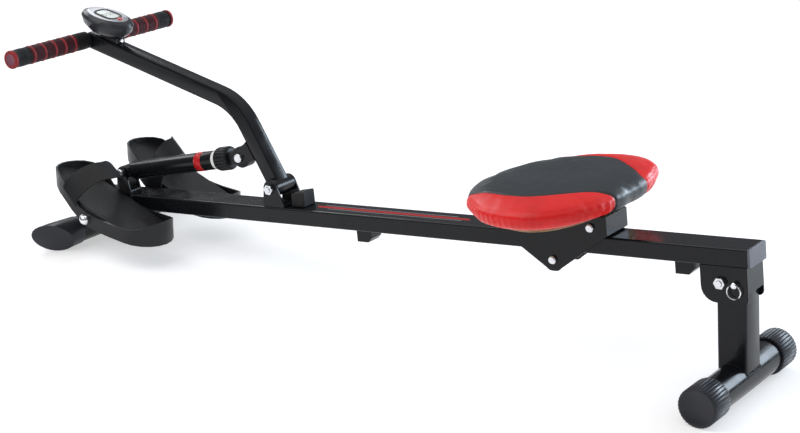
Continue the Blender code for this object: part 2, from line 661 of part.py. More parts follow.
# ---- Leg -----------------------------------------------------------------------------------------
def make_leg():
    """Square post, its cross tube and two round rubber feet."""
    front = -LEG_PIVOT_INSET
    middle = front + LEG_DEPTH / 2
    top = LEG_TOP
    low = REAR_TUBE_RADIUS / 3 - LEG_LENGTH
    outer = rounded_rectangle(LEG_DEPTH, LEG_WIDTH, LEG_CORNER)
    inner = rounded_rectangle(LEG_DEPTH - 2 * LEG_WALL, LEG_WIDTH - 2 * LEG_WALL, LEG_CORNER - LEG_WALL)
    mesh = moved(plate_mesh("leg_post", [outer], top - low), shift(middle, 0.0, (top + low) / 2))
    post = add("leg_post", mesh, "black_paint", LEG)
    cope = cylinder_mesh("foot_cope", REAR_TUBE_RADIUS + GAP, LEG_WIDTH * 1.7, 40)
    boolean(post, cutter("foot_cope", cope, LEG, (middle, 0.0, -LEG_LENGTH)), "DIFFERENCE")
    hollow = moved(plate_mesh("post_hollow", [inner], top - low + 0.04), shift(middle, 0.0, (top + low) / 2))
    boolean(post, cutter("post_hollow", hollow, LEG), "DIFFERENCE")
    for name, x, radius in (("leg_bolt_hole", 0.0, PIVOT_BOLT_RADIUS), ("leg_pin_hole", LOCK_PIN_OFFSET,
                                                                      CLEVIS_PIN_RADIUS)):
        hole = cylinder_mesh(name, radius + GAP, LEG_WIDTH * 2, SMALL_STEPS)
        boolean(post, cutter(name, hole, LEG, (x, 0.0, 0.0)), "DIFFERENCE")
    half = REAR_FOOT_WIDTH / 2 - CAP_WALL - GAP
    turned("rear_foot_tube", ring_profile(REAR_TUBE_RADIUS, REAR_TUBE_RADIUS - FOOT_TUBE_WALL, -half, half),
           "black_paint", None, REAR_FOOT, ACROSS, 32)
    for side, sign in SIDES:
        end = REAR_FOOT_WIDTH / 2
        bore = REAR_TUBE_RADIUS + GAP
        profile = [(0, end), (REAR_CAP_RADIUS - 0.004, end), (REAR_CAP_RADIUS, end - 0.004),
                   (REAR_CAP_RADIUS, end - REAR_CAP_LENGTH), (bore, end - REAR_CAP_LENGTH),
                   (bore, end - CAP_WALL), (0, end - CAP_WALL)]
        turned("rear_foot_cap_" + side, profile, "black_rubber", None, REAR_FOOT, outwards(sign), 32)


def make_lock_pin():
    """Ring-pull pin, cut short in the near cheek so that the leg can fold past it, and its split ring."""
    head = PIN_HEAD_LENGTH
    side = CHEEK_OUTER + RUN
    profile = [(0, side + head), (PIN_HEAD_RADIUS - 0.001, side + head), (PIN_HEAD_RADIUS, side + head - 0.001),
               (PIN_HEAD_RADIUS, side), (CLEVIS_PIN_RADIUS, side), (CLEVIS_PIN_RADIUS, CHEEK_INNER), (0, CHEEK_INNER)]
    pin = turned("leg_lock_pin", profile, "zinc", LEG, (LOCK_PIN_OFFSET, 0.0, 0.0), ACROSS, SMALL_STEPS)
    eye = cylinder_mesh("ring_eye", PIN_EYE_RADIUS, 4 * PIN_HEAD_RADIUS, 12)
    middle = -side - head * 0.55
    place = (LOCK_PIN_OFFSET, middle, 0.0)
    boolean(pin, cutter("ring_eye", eye, LEG, place, (0.0, 0.0, math.pi / 2)), "DIFFERENCE")
    bm = bmesh.new()
    section = bmesh.ops.create_circle(bm, segments=8, radius=RING_WIRE_RADIUS)["verts"]
    bmesh.ops.translate(bm, vec=(RING_RADIUS, 0.0, 0.0), verts=section)
    bmesh.ops.spin(bm, geom=bm.verts[:] + bm.edges[:], cent=(0, 0, 0), axis=(0, 1, 0),
                   angle=2 * math.pi, steps=24, use_merge=True)
    bmesh.ops.remove_doubles(bm, verts=bm.verts, dist=0.00001)
    mesh = mesh_from("lock_pin_ring", bm)
    mesh.transform(shift(0.0, 0.0, PIN_EYE_RADIUS * 0.2 - RING_RADIUS))
    add("lock_pin_ring", mesh, "zinc", None, LEG.matrix_world @ Vector(place))


# ---- Pedals --------------------------------------------------------------------------------------
def blend(knots, x):
    """Value at x of the smooth curve through (x, value) knots."""
    if x <= knots[0][0]:
        return knots[0][1]
    slopes = []
    for i in range(len(knots)):
        x0, v0 = knots[max(i - 1, 0)]
        x1, v1 = knots[min(i + 1, len(knots) - 1)]
        slopes.append((v1 - v0) / (x1 - x0))
    for i, ((x0, v0), (x1, v1)) in enumerate(zip(knots, knots[1:])):
        if x <= x1:
            run = x1 - x0
            t = (x - x0) / run
            start = (2 * t ** 3 - 3 * t ** 2 + 1) * v0 + (t ** 3 - 2 * t ** 2 + t) * run * slopes[i]
            return start + (3 * t ** 2 - 2 * t ** 3) * v1 + (t ** 3 - t ** 2) * run * slopes[i + 1]
    return knots[-1][1]


def sole_outline(inset):
    """Plan of the footbed: (forward, sideways) points about the axle and the pedal's middle."""
    half = PEDAL_WIDTH / 2 - inset
    toe = PEDAL_TOE - TOE_ROUND
    heel = HEEL_ROUND - PEDAL_HEEL
    points = []
    for i in range(13):
        angle = math.pi * (i / 12 - 0.5)
        points.append((toe + (TOE_ROUND - inset) * math.cos(angle), half * math.sin(angle)))
    points += [(toe + (heel - toe) * i / 7, half) for i in range(1, 7)]
    for i in range(11):
        angle = math.pi * (i / 10 + 0.5)
        points.append((heel + (HEEL_ROUND - inset) * math.cos(angle), half * math.sin(angle)))
    points += [(heel + (toe - heel) * i / 7, -half) for i in range(1, 7)]
    return points


def make_footbed(side, sign):
    """Moulded sandal sole: side walls that rise into a toe cup, a floor, and an open underside."""
    bm = bmesh.new()
    inner = PEDAL_WALL
    rings = [(inner, SOLE_FLOOR, -SOLE_THICKNESS), (inner, SOLE_LOW, 0.0), (0.0, SOLE_LOW, 0.0),
             (0.0, SOLE_RIM, 0.0), (inner, SOLE_RIM, 0.0), (inner, SOLE_FLOOR, 0.0)]
    loops = []
    for inset, heights, lift in rings:
        verts = [bm.verts.new((-u, v, blend(heights, u) + lift)) for u, v in sole_outline(inset)]
        loops.append([bm.edges.new((verts[i - 1], verts[i])) for i in range(len(verts))])
    for low, high in zip(loops, loops[1:]):
        bmesh.ops.bridge_loops(bm, edges=low + high)
    for loop in (loops[0], loops[-1]):
        bmesh.ops.holes_fill(bm, edges=loop, sides=0)
    name = "footbed_" + side
    place = (0.0, sign * PEDAL_MIDDLE, 0.0)
    bed = add(name, mesh_from(name, bm), "black_plastic", PEDAL, place)
    boss = cylinder_mesh("axle_boss_" + side, AXLE_RADIUS + 0.0035, PEDAL_WIDTH - PEDAL_WALL, 18)
    boolean(bed, cutter("axle_boss_" + side, boss, PEDAL, place), "UNION")
    bore = cylinder_mesh("axle_bore_" + side, AXLE_RADIUS + GAP, PEDAL_WIDTH * 2, SMALL_STEPS)
    boolean(bed, cutter("axle_bore_" + side, bore, PEDAL, place), "DIFFERENCE")


def strap_point(angle, share):
    """Point on the strap's outer surface: angle from the outer foot, share from rear to front."""
    side = math.cos(angle)
    near, power = (0, STRAP_SLANT) if side > 0 else (2, 1.0)
    edges = []
    for edge in (STRAP_REAR, STRAP_FRONT):
        foot = Vector(edge[near])
        top = Vector(edge[1])
        u = top.x + (foot.x - top.x) * abs(side)
        z = foot.y + (top.y - foot.y) * math.sin(angle) ** power
        edges.append(Vector((u, z)))
    u, z = edges[0].lerp(edges[1], share)
    half = PEDAL_WIDTH / 2 + GAP + STRAP_THICKNESS
    return u, half * math.copysign(abs(side) ** power, side), z


def make_strap(side, sign):
    """Foot strap: a band that arches from one side wall over the instep to the other."""
    bm = bmesh.new()
    around = 16
    along = 4
    rows = []
    for j in range(along + 1):
        rows.append([])
        for i in range(around + 1):
            u, v, z = strap_point(math.pi * i / around, j / along)
            rows[j].append(bm.verts.new((-u, sign * v, z)))
    for low, high in zip(rows, rows[1:]):
        for i in range(around):
            bm.faces.new((low[i], low[i + 1], high[i + 1], high[i]))
    if sign < 0:
        bmesh.ops.reverse_faces(bm, faces=bm.faces)
    mesh = bpy.data.meshes.new("foot_strap_" + side)
    bm.to_mesh(mesh)
    bm.free()
    strap = add("foot_strap_" + side, mesh, "black_plastic", PEDAL, (0.0, sign * PEDAL_MIDDLE, 0.0))
    wall = strap.modifiers.new("wall", "SOLIDIFY")
    wall.thickness = STRAP_THICKNESS
    wall.offset = -1.0
    wall.use_even_offset = False
    way = cylinder_mesh("strap_bore_" + side, AXLE_RADIUS + 0.0020, PEDAL_WIDTH * 2, SMALL_STEPS)
    boolean(strap, cutter("strap_bore_" + side, way, PEDAL, (0.0, sign * PEDAL_MIDDLE, 0.0)), "DIFFERENCE")


def make_pedal_axle():
    """Rod through the rail with a domed nut on each end."""
    half = PEDAL_OUTER + AXLE_OVERHANG
    turned("pedal_axle", pin_profile(AXLE_RADIUS, -half, half, 0.0005), "zinc", None, AXLE, ACROSS, SMALL_STEPS)
    for side, sign in SIDES:
        face = PEDAL_OUTER + RUN
        end = face + CAP_NUT_LENGTH
        bore = AXLE_RADIUS + GAP
        dome = [(CAP_NUT_RADIUS * math.sin(math.radians(a)) * 0.86,
                 end - CAP_NUT_RADIUS * 0.86 * (1 - math.cos(math.radians(a)))) for a in (0, 30, 60, 85)]
        profile = dome + [(CAP_NUT_RADIUS, face + 0.0062), (CAP_NUT_RADIUS, face), (bore, face),
                          (bore, half + GAP), (0, half + GAP)]
        turned("pedal_cap_nut_" + side, profile, "chrome", None, AXLE, outwards(sign), SMALL_STEPS)


# ---- Arm -----------------------------------------------------------------------------------------
def square_section(corner_inset=0.0):
    """Outline of the arm's square tube."""
    size = ARM_SIZE - 2 * corner_inset
    return rounded_rectangle(size, size, max(ARM_CORNER - corner_inset, 0.0008), 2)


def arm_path():
    """Stations (place, heading) from the pivot to the handlebar, about the pivot."""
    turn = ARM_UPPER_ANGLE - ARM_LOWER_ANGLE
    tangent = ARM_BEND_RADIUS * math.tan(turn / 2)
    corner = heading(ARM_LOWER_ANGLE) * ARM_LOWER_LENGTH
    start = corner - heading(ARM_LOWER_ANGLE) * tangent
    centre = start + heading(ARM_LOWER_ANGLE + math.pi / 2) * ARM_BEND_RADIUS
    stations = [(Vector((0, 0, 0)), ARM_LOWER_ANGLE)]
    steps = 8
    for i in range(steps + 1):
        angle = ARM_LOWER_ANGLE + turn * i / steps
        stations.append((centre + heading(angle - math.pi / 2) * ARM_BEND_RADIUS, angle))
    stations.append((corner + heading(ARM_UPPER_ANGLE) * ARM_UPPER_LENGTH, ARM_UPPER_ANGLE))
    return stations


def swept(name, outline, stations):
    """Closed bar of one outline (sideways, outwards) along stations in the middle plane."""
    bm = bmesh.new()
    loops = []
    for place, angle in stations:
        out = heading(angle + math.pi / 2)
        verts = [bm.verts.new(place + Vector((0.0, a, 0.0)) + out * b) for a, b in outline]
        loops.append([bm.edges.new((verts[i - 1], verts[i])) for i in range(len(verts))])
    for low, high in zip(loops, loops[1:]):
        bmesh.ops.bridge_loops(bm, edges=low + high)
    for loop in (loops[0], loops[-1]):
        bmesh.ops.holes_fill(bm, edges=loop, sides=0)
    return mesh_from(name, bm)


def make_arm():
    """Bent square tube, coped to the sleeve at its foot and to the handlebar at its top."""
    stations = arm_path()
    arm = add("arm_tube", swept("arm_tube", square_section(), stations), "black_paint", ARM)
    longer = [(stations[0][0] - heading(ARM_LOWER_ANGLE) * 0.01, ARM_LOWER_ANGLE)] + stations[1:-1]
    longer.append((stations[-1][0] + heading(ARM_UPPER_ANGLE) * 0.01, ARM_UPPER_ANGLE))
    hollow = swept("arm_hollow", square_section(ARM_WALL), longer)
    boolean(arm, cutter("arm_hollow", hollow, ARM), "DIFFERENCE")
    cope = cylinder_mesh("sleeve_cope", SLEEVE_RADIUS + GAP, SLEEVE_LENGTH * 1.5, 48)
    boolean(arm, cutter("sleeve_cope", cope, ARM), "DIFFERENCE")
    bar = cylinder_mesh("bar_cope", BAR_RADIUS + GAP, 0.08, 48)
    boolean(arm, cutter("bar_cope", bar, None, BAR), "DIFFERENCE")
    past = box_mesh("arm_end", (-0.06, -0.03, -0.03), (0.0, 0.03, 0.03))
    aim = (0.0, -(ARM_UPPER_ANGLE - math.pi), 0.0)
    boolean(arm, cutter("arm_end", past, None, BAR, aim), "DIFFERENCE")

    half = SLEEVE_LENGTH / 2
    turned("arm_pivot_sleeve", ring_profile(SLEEVE_RADIUS, SLEEVE_BORE, -half, half, 0.0010), "black_paint",
           ARM, (0, 0, 0), ACROSS)
    turned("arm_pivot_bush", ring_profile(SLEEVE_BORE - GAP, BUSH_BORE, -half, half), "nylon",
           ARM, (0, 0, 0), ACROSS, SMALL_STEPS)


def make_rod_bracket():
    """Two ears welded on the arm's front face, with the head and the nut of the rod's bolt."""
    inner = HUB_WIDTH / 2 + RUN
    outer = inner + BRACKET_WALL
    eye = Vector((-CYL_REAR_FORE, 0.0, CYL_REAR_RISE))
    along = heading(ARM_LOWER_ANGLE)
    out = heading(ARM_LOWER_ANGLE + math.pi / 2)
    face = ARM_SIZE / 2 + GAP
    reach = eye.dot(out) - face
    outline = ([(-0.019, 0.0), (0.019, 0.0)]
               + arc(0.0, reach, CLEVIS_RADIUS, 10, 170, 8))
    hole = circle(0.0, reach, CLEVIS_PIN_RADIUS + GAP)
    frame = Matrix((
        (along.x, 0.0, out.x, along.x * eye.dot(along) + out.x * face),
        (0.0, 1.0, 0.0, 0.0),
        (along.z, 0.0, out.z, along.z * eye.dot(along) + out.z * face),
        (0.0, 0.0, 0.0, 1.0)))
    near = plate_mesh("rod_end_bracket", [outline, hole], BRACKET_WALL)
    near.transform(shift(y=-(inner + outer) / 2) @ UPRIGHT)
    far = near.copy()
    far.transform(shift(y=inner + outer))
    base = box_mesh("ear_base", (-0.019, -outer, 0.0), (0.019, outer, BRACKET_WALL))
    for mesh in (near, far, base):
        mesh.transform(frame)
        mesh_fix(mesh)
    bracket = add("rod_end_bracket", near, "black_paint", ARM)
    boolean(bracket, cutter("rod_ear", far, ARM), "UNION")
    boolean(bracket, cutter("rod_ear_base", base, ARM), "UNION")

    whole_pin("rod_end_pin", outer, ARM, eye)


def mesh_fix(mesh):
    """Faces outwards again after a mirrored placing."""
    bm = bmesh.new()
    bm.from_mesh(mesh)
    bmesh.ops.recalc_face_normals(bm, faces=bm.faces)
    bm.to_mesh(mesh)
    bm.free()


def make_handlebar():
    """Straight tube with a foam grip and an end plug on each side."""
    half = BAR_SPAN / 2 - PLUG_HEAD - GAP
    turned("handlebar_tube", ring_profile(BAR_RADIUS, BAR_RADIUS - BAR_WALL, -half, half), "black_paint",
           ARM, BAR - ARM_PIVOT, ACROSS)
    for side, sign in SIDES:
        aim = outwards(sign)
        turned("grip_" + side, ring_profile(GRIP_RADIUS, BAR_RADIUS + GAP, GRIP_INNER, half, 0.0015), "foam",
               ARM, BAR - ARM_PIVOT, aim)
        end = BAR_SPAN / 2
        bore = BAR_RADIUS - BAR_WALL - GAP
        profile = [(0, end), (GRIP_RADIUS - 0.003, end), (GRIP_RADIUS, end - 0.002),
                   (GRIP_RADIUS, end - PLUG_HEAD), (bore, end - PLUG_HEAD), (bore, end - 0.024),
                   (0, end - 0.024)]
        turned("grip_plug_" + side, profile, "red_plastic", ARM, BAR - ARM_PIVOT, aim)


def oval(length, width, count=32):
    """Oval outline, its long side along X."""
    return [(length / 2 * math.cos(2 * math.pi * i / count), width / 2 * math.sin(2 * math.pi * i / count))
            for i in range(count)]


def lofted(name, sections):
    """Closed solid through (outline, height, forward shift) sections."""
    bm = bmesh.new()
    loops = []
    for outline, z, x in sections:
        verts = [bm.verts.new((a + x, b, z)) for a, b in outline]
        loops.append([bm.edges.new((verts[i - 1], verts[i])) for i in range(len(verts))])
    for low, high in zip(loops, loops[1:]):
        bmesh.ops.bridge_loops(bm, edges=low + high)
    for loop in (loops[0], loops[-1]):
        bmesh.ops.holes_fill(bm, edges=loop, sides=0)
    return mesh_from(name, bm)


def make_console():
    """Oval console: a bowl, a rim cover with its window and button, and the tab it sits on."""
    middle = BAR - ARM_PIVOT + Vector((CONSOLE_BACK, 0.0, CONSOLE_RISE))
    aim = (0.0, CONSOLE_TILT, 0.0)
    length = CONSOLE_LENGTH
    width = CONSOLE_WIDTH
    depth = CONSOLE_HEIGHT
    split = -0.010
    sections = [(oval(length * 0.42, width * 0.42), -depth, 0.006),
                (oval(length * 0.72, width * 0.76), -depth * 0.86, 0.004),
                (oval(length * 0.92, width * 0.95), -depth * 0.60, 0.002),
                (oval(length, width), split, 0.0)]
    base = add("console_base", lofted("console_base", sections), "black_plastic", ARM, middle, aim)
    hollow = lofted("console_hollow", [(oval(length * 0.60, width * 0.60), -depth * 0.70, 0.003),
                                       (oval(length * 0.90, width * 0.86), split + 0.002, 0.0)])
    boolean(base, cutter("console_hollow", hollow, ARM, middle, aim), "DIFFERENCE")
    low = split + GAP
    cover = lofted("console_cover", [(oval(length, width), low, 0.0),
                                     (oval(length * 0.94, width * 0.93), low + 0.0055, 0.0),
                                     (oval(length * 0.78, width * 0.78), 0.0, 0.0)])
    lid = add("console_cover", cover, "silver_plastic", ARM, middle, aim)
    under = lofted("cover_hollow", [(oval(length * 0.90, width * 0.86), low - 0.002, 0.0),
                                    (oval(length * 0.68, width * 0.66), -0.0025, 0.0)])
    boolean(lid, cutter("cover_hollow", under, ARM, middle, aim), "DIFFERENCE")
    window = box_mesh("window_cut", (-LENS_LENGTH / 2 - GAP, -LENS_WIDTH / 2 - GAP, -0.01),
                      (LENS_LENGTH / 2 + GAP, LENS_WIDTH / 2 + GAP, 0.01))
    boolean(lid, cutter("window_cut", window, ARM, middle, aim), "DIFFERENCE")
    lens = box_mesh("console_lens", (-LENS_LENGTH / 2, -LENS_WIDTH / 2, -0.0024),
                    (LENS_LENGTH / 2, LENS_WIDTH / 2, 0.0004))
    add("console_lens", lens, "display", ARM, middle, aim)
    button_x = LENS_LENGTH / 2 + 0.0095
    hole = cylinder_mesh("button_hole", BUTTON_RADIUS + GAP, 0.03, SMALL_STEPS)
    hole.transform(Matrix.Rotation(math.pi / 2, 4, "X"))
    hole.transform(shift(button_x))
    boolean(lid, cutter("button_hole", hole, ARM, middle, aim), "DIFFERENCE")
    turned("console_button", pin_profile(BUTTON_RADIUS, -0.0060, 0.0016, 0.0005), "red_plastic", ARM,
           middle + Matrix.Rotation(CONSOLE_TILT, 3, "Y") @ Vector((button_x, 0.0, 0.0)), aim, SMALL_STEPS)

    # A tab on the arm's top face carries the bowl, and one screw holds it from behind.
    drop = ARM_SIZE / 2 + GAP
    foot = CONSOLE_RISE - depth * math.cos(CONSOLE_TILT) - 0.0012
    tab_front = CONSOLE_BACK - 0.012
    tab_rear = CONSOLE_BACK + 0.030
    slope = math.tan(ARM_UPPER_ANGLE)
    outline = [(tab_front, tab_front * slope + drop / math.cos(math.pi - ARM_UPPER_ANGLE)),
               (tab_rear, tab_rear * slope + drop / math.cos(math.pi - ARM_UPPER_ANGLE)),
               (tab_rear, foot - 0.005), (tab_rear - 0.010, foot - 0.004), (tab_front, foot)]
    tab = moved(plate_mesh("console_bracket", [outline], 0.022), UPRIGHT)
    holder = add("console_bracket", tab, "black_plastic", ARM, BAR - ARM_PIVOT)
    screw_z = (outline[1][1] + outline[2][1]) / 2
    place = BAR - ARM_PIVOT + Vector((tab_rear, 0.0, screw_z))
    side = (0.0, math.pi / 2, 0.0)
    bore = cylinder_mesh("screw_hole", 0.0020 + GAP, 0.024, 12)
    bore.transform(Matrix.Rotation(math.pi / 2, 4, "Z"))
    boolean(holder, cutter("screw_hole", bore, ARM, place), "DIFFERENCE")
    turned("console_screw", [(0, 0.0045), (0.0030, 0.0045), (0.0048, 0.0028), (0.0048, GAP), (0.0020, GAP),
                             (0.0020, -0.0100), (0, -0.0100)], "chrome", ARM, place, side, 12)


# ---- Hydraulic cylinder --------------------------------------------------------------------------
def make_cylinder():
    """Oil cylinder on the rail's front bracket; its rod carries the scale, the knob and the hub."""
    start = CYL_BODY_START
    end = CYL_SPAN - HUB_REACH - KNOB_LENGTH - RING_LENGTH - 3 * GAP
    aim = (0.0, math.pi / 2, 0.0)      # a turned piece's Z along the cylinder
    bore = CYL_BODY_RADIUS - CYL_WALL
    gland = GLAND_LENGTH
    wall = CYL_END_WALL
    profile = [(0, start + wall), (bore, start + wall), (bore, end - gland), (ROD_RADIUS + GAP, end - gland),
               (ROD_RADIUS + GAP, end), (CYL_BODY_RADIUS - 0.001, end), (CYL_BODY_RADIUS, end - 0.001),
               (CYL_BODY_RADIUS, start + 0.002), (CYL_BODY_RADIUS - 0.003, start), (0, start)]
    body = turned("cylinder_body", profile, "black_paint", DAMPER, (0, 0, 0), aim)
    neck = plate_mesh("front_eye", [arc(0, 0, CYL_EYE_RADIUS, 40, 320, 12)
                                    + [(start + 0.003, -0.009), (start + 0.003, 0.009)],
                                    circle(0, 0, CLEVIS_PIN_RADIUS + GAP)], CYL_EYE_WIDTH)
    moved(neck, UPRIGHT)
    boolean(body, cutter("front_eye", neck, DAMPER), "UNION")
    tip = start + wall + PISTON_ROOM
    profile = [(0, CYL_SPAN - HUB_REACH + 0.006), (ROD_RADIUS, CYL_SPAN - HUB_REACH + 0.006),
               (ROD_RADIUS, tip + PISTON_LENGTH), (bore - GAP, tip + PISTON_LENGTH), (bore - GAP, tip),
               (0, tip)]
    turned("piston_rod", profile, "chrome", DAMPER, (0, 0, 0), aim, 20)
    low = end + GAP
    turned("scale_ring", ring_profile(CYL_BODY_RADIUS + 0.0005, ROD_RADIUS + GAP, low, low + RING_LENGTH, 0.0008),
           "white_plastic", DAMPER, (0, 0, 0), aim)
    low += RING_LENGTH + GAP
    high = low + KNOB_LENGTH
    profile = [(ROD_RADIUS + GAP, high), (KNOB_RADIUS * 0.80, high), (KNOB_RADIUS, high - 0.005),
               (KNOB_RADIUS, low + 0.004), (KNOB_RADIUS - 0.003, low), (ROD_RADIUS + GAP, low)]
    turned("tension_knob", profile, "black_plastic", DAMPER, (0, 0, 0), aim, 32)
    hub_outline = arc(CYL_SPAN, 0, HUB_RADIUS, -145, 145, 20)
    neck_end = high + GAP
    hub_outline += [(neck_end, HUB_NECK_RADIUS), (neck_end, -HUB_NECK_RADIUS)]
    mesh = moved(plate_mesh("rod_end_hub", [hub_outline], HUB_WIDTH), UPRIGHT)
    hub = add("rod_end_hub", mesh, "black_plastic", DAMPER)
    bevel(hub, 0.0015, 1)
    hole = cylinder_mesh("hub_bore", ROD_RADIUS + GAP, 2 * 0.0080 + 0.0006, SMALL_STEPS)
    hole.transform(Matrix.Rotation(math.pi / 2, 4, "Z"))
    boolean(hub, cutter("hub_bore", hole, DAMPER, (neck_end, 0.0, 0.0)), "DIFFERENCE")
    eye = cylinder_mesh("hub_eye", CLEVIS_PIN_RADIUS + GAP, HUB_WIDTH * 2, SMALL_STEPS)
    boolean(hub, cutter("hub_eye", eye, DAMPER, (CYL_SPAN, 0.0, 0.0)), "DIFFERENCE")


# ---- Seat ----------------------------------------------------------------------------------------
def seat_outline(grow, count=40):
    """Plan of the seat: a rounded oval, wider towards the rear."""
    points = []
    for i in range(count):
        angle = 2 * math.pi * i / count
        c = math.cos(angle)
        s = math.sin(angle)
        x = math.copysign(abs(c) ** (2 / SEAT_ROUND), c)
        y = math.copysign(abs(s) ** (2 / SEAT_ROUND), s)
        width = SEAT_HALF_WIDTH * (1 + SEAT_TAPER * x)
        points.append(((SEAT_LENGTH / 2 + grow) * x, (width + grow) * y))
    return points


def make_seat():
    """Padded cushion on a plywood board, bolted to the carriage."""
    rise = SEAT_RIM_H - SEAT_BASE_H
    crown = SEAT_CROWN_H - SEAT_RIM_H
    sections = [(seat_outline(-0.008), SEAT_BASE_H, 0.0), (seat_outline(-0.002), SEAT_BASE_H + rise * 0.35, 0.0),
                (seat_outline(0.0), SEAT_RIM_H, 0.0), (seat_outline(-0.008), SEAT_RIM_H + crown * 0.5, 0.0),
                (seat_outline(-0.025), SEAT_RIM_H + crown * 0.85, 0.0), (seat_outline(-0.060), SEAT_CROWN_H, 0.0)]
    add("seat_cushion", lofted("seat_cushion", sections), "vinyl", SEAT)
    top = SEAT_BASE_H - GAP
    board = lofted("seat_board", [(seat_outline(-BOARD_INSET), top - BOARD_THICKNESS, 0.0),
                                  (seat_outline(-BOARD_INSET), top, 0.0)])
    add("seat_board", board, "plywood", SEAT, smooth=False)


def make_carriage():
    """Box-shaped steel carriage: two V-shaped cheeks, a top and two end webs."""
    half = CARRIAGE_HALF_LENGTH
    top = CARRIAGE_TOP_H
    tip = CARRIAGE_TIP_HALF
    outline = ([(half, CARRIAGE_LOW_H), (half, top), (-half, top), (-half, CARRIAGE_LOW_H)]
               + arc(-tip * 0.4, CARRIAGE_TIP_H + 0.012, 0.012, 215, 270, 3)
               + arc(tip * 0.4, CARRIAGE_TIP_H + 0.012, 0.012, 270, 325, 3))
    radius = ROLLER_AXLE_RADIUS + GAP
    holes = [circle(x, z, radius, 12) for x, z in roller_places()]
    mesh = moved(plate_mesh("seat_carriage", [outline] + holes, 2 * CARRIAGE_OUTER), UPRIGHT)
    carriage = add("seat_carriage", mesh, "black_paint", SEAT)
    wall = CARRIAGE_WALL
    room = box_mesh("carriage_room", (wall - half, -CARRIAGE_INNER, CARRIAGE_TIP_H - 0.02),
                    (half - wall, CARRIAGE_INNER, top - wall))
    boolean(carriage, cutter("carriage_room", room, SEAT), "DIFFERENCE")


def roller_places():
    """(along, up) of the two upper axles and the lower one, about the seat's middle."""
    upper = UPPER_ROLLER_RADIUS + ROLLER_FIT
    lower = -RAIL_HEIGHT - LOWER_ROLLER_RADIUS - ROLLER_FIT
    return [(-ROLLER_SPREAD, upper), (ROLLER_SPREAD, upper), (0.0, lower)]


def make_rollers():
    """Three nylon rollers, two on the rail and one under it, on shoulder bolts."""
    names = ("front", "rear", "lower")
    for name, (x, z) in zip(names, roller_places()):
        radius = LOWER_ROLLER_RADIUS if name == "lower" else UPPER_ROLLER_RADIUS
        half = RAIL_WIDTH / 2
        turned("roller_" + name, ring_profile(radius, ROLLER_AXLE_RADIUS + GAP, -half, half, 0.0010), "nylon",
               SEAT, (x, 0.0, z), ACROSS, 24)
        side = CARRIAGE_OUTER + GAP
        profile = [(0, side + 0.0055), (0.0055, side + 0.0055), (0.0072, side + 0.0035), (0.0072, side),
                   (ROLLER_AXLE_RADIUS, side), (ROLLER_AXLE_RADIUS, -side - 0.0050), (0, -side - 0.0050)]
        turned("roller_axle_" + name, profile, "zinc", SEAT, (x, 0.0, z), ACROSS, SMALL_STEPS)


def main():
    """Build every piece."""
    make_rail()
    make_seat_stop("seat_stop_front", STOP_FRONT_S)
    make_seat_stop("seat_stop_rear", STOP_REAR_S)
    make_bumper()
    make_arm_bracket()
    make_cylinder_bracket()
    make_leg_bracket()
    make_bolt("arm_pivot_bolt", PIVOT_BOLT_RADIUS, EAR_OUTER, ARM, (0, 0, 0))
    make_nut("arm_pivot_nut", PIVOT_BOLT_RADIUS, EAR_OUTER, ARM, (0, 0, 0))
    make_bolt("leg_pivot_bolt", PIVOT_BOLT_RADIUS, CHEEK_OUTER, LEG, (0, 0, 0))
    make_nut("leg_pivot_nut", PIVOT_BOLT_RADIUS, CHEEK_OUTER, LEG, (0, 0, 0))
    make_front_foot()
    make_leg()
    make_lock_pin()
    for side, sign in SIDES:
        make_footbed(side, sign)
        make_strap(side, sign)
    make_pedal_axle()
    make_arm()
    make_rod_bracket()
    make_handlebar()
    make_console()
    make_cylinder()
    make_seat()
    make_carriage()
    make_rollers()


main()
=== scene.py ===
import json
import math

import bmesh
import bpy
from bpy.props import FloatProperty, FloatVectorProperty, IntProperty, PointerProperty
from mathutils import Matrix, Vector, noise

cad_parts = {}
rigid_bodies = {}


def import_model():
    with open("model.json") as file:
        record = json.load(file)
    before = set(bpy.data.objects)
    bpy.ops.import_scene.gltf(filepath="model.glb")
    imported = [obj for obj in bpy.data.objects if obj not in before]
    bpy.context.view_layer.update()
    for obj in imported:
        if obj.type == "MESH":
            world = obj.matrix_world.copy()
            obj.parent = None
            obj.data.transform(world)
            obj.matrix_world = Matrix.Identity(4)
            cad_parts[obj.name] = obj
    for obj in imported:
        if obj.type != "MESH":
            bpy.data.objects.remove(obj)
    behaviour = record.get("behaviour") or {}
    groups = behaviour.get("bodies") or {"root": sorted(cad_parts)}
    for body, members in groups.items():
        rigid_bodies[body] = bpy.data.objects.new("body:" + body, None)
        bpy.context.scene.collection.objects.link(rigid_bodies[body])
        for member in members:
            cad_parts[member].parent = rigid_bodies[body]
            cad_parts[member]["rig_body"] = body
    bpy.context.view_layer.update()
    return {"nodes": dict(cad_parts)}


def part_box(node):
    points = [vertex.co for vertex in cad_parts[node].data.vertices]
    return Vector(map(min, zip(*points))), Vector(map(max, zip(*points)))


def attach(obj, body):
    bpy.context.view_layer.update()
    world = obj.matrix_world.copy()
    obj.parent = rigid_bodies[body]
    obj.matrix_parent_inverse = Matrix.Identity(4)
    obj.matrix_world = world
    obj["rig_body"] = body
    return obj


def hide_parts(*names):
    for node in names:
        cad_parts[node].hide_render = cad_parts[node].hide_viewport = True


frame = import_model()

bl_info = {
    "name": "Folding Rowing Machine",
    "version": (1, 0, 0),
    "blender": (4, 5, 0),
    "location": "View3D > Sidebar > Rower",
    "description": "Finishes, upholstery and trim for a folding rowing machine",
    "category": "Object",
}

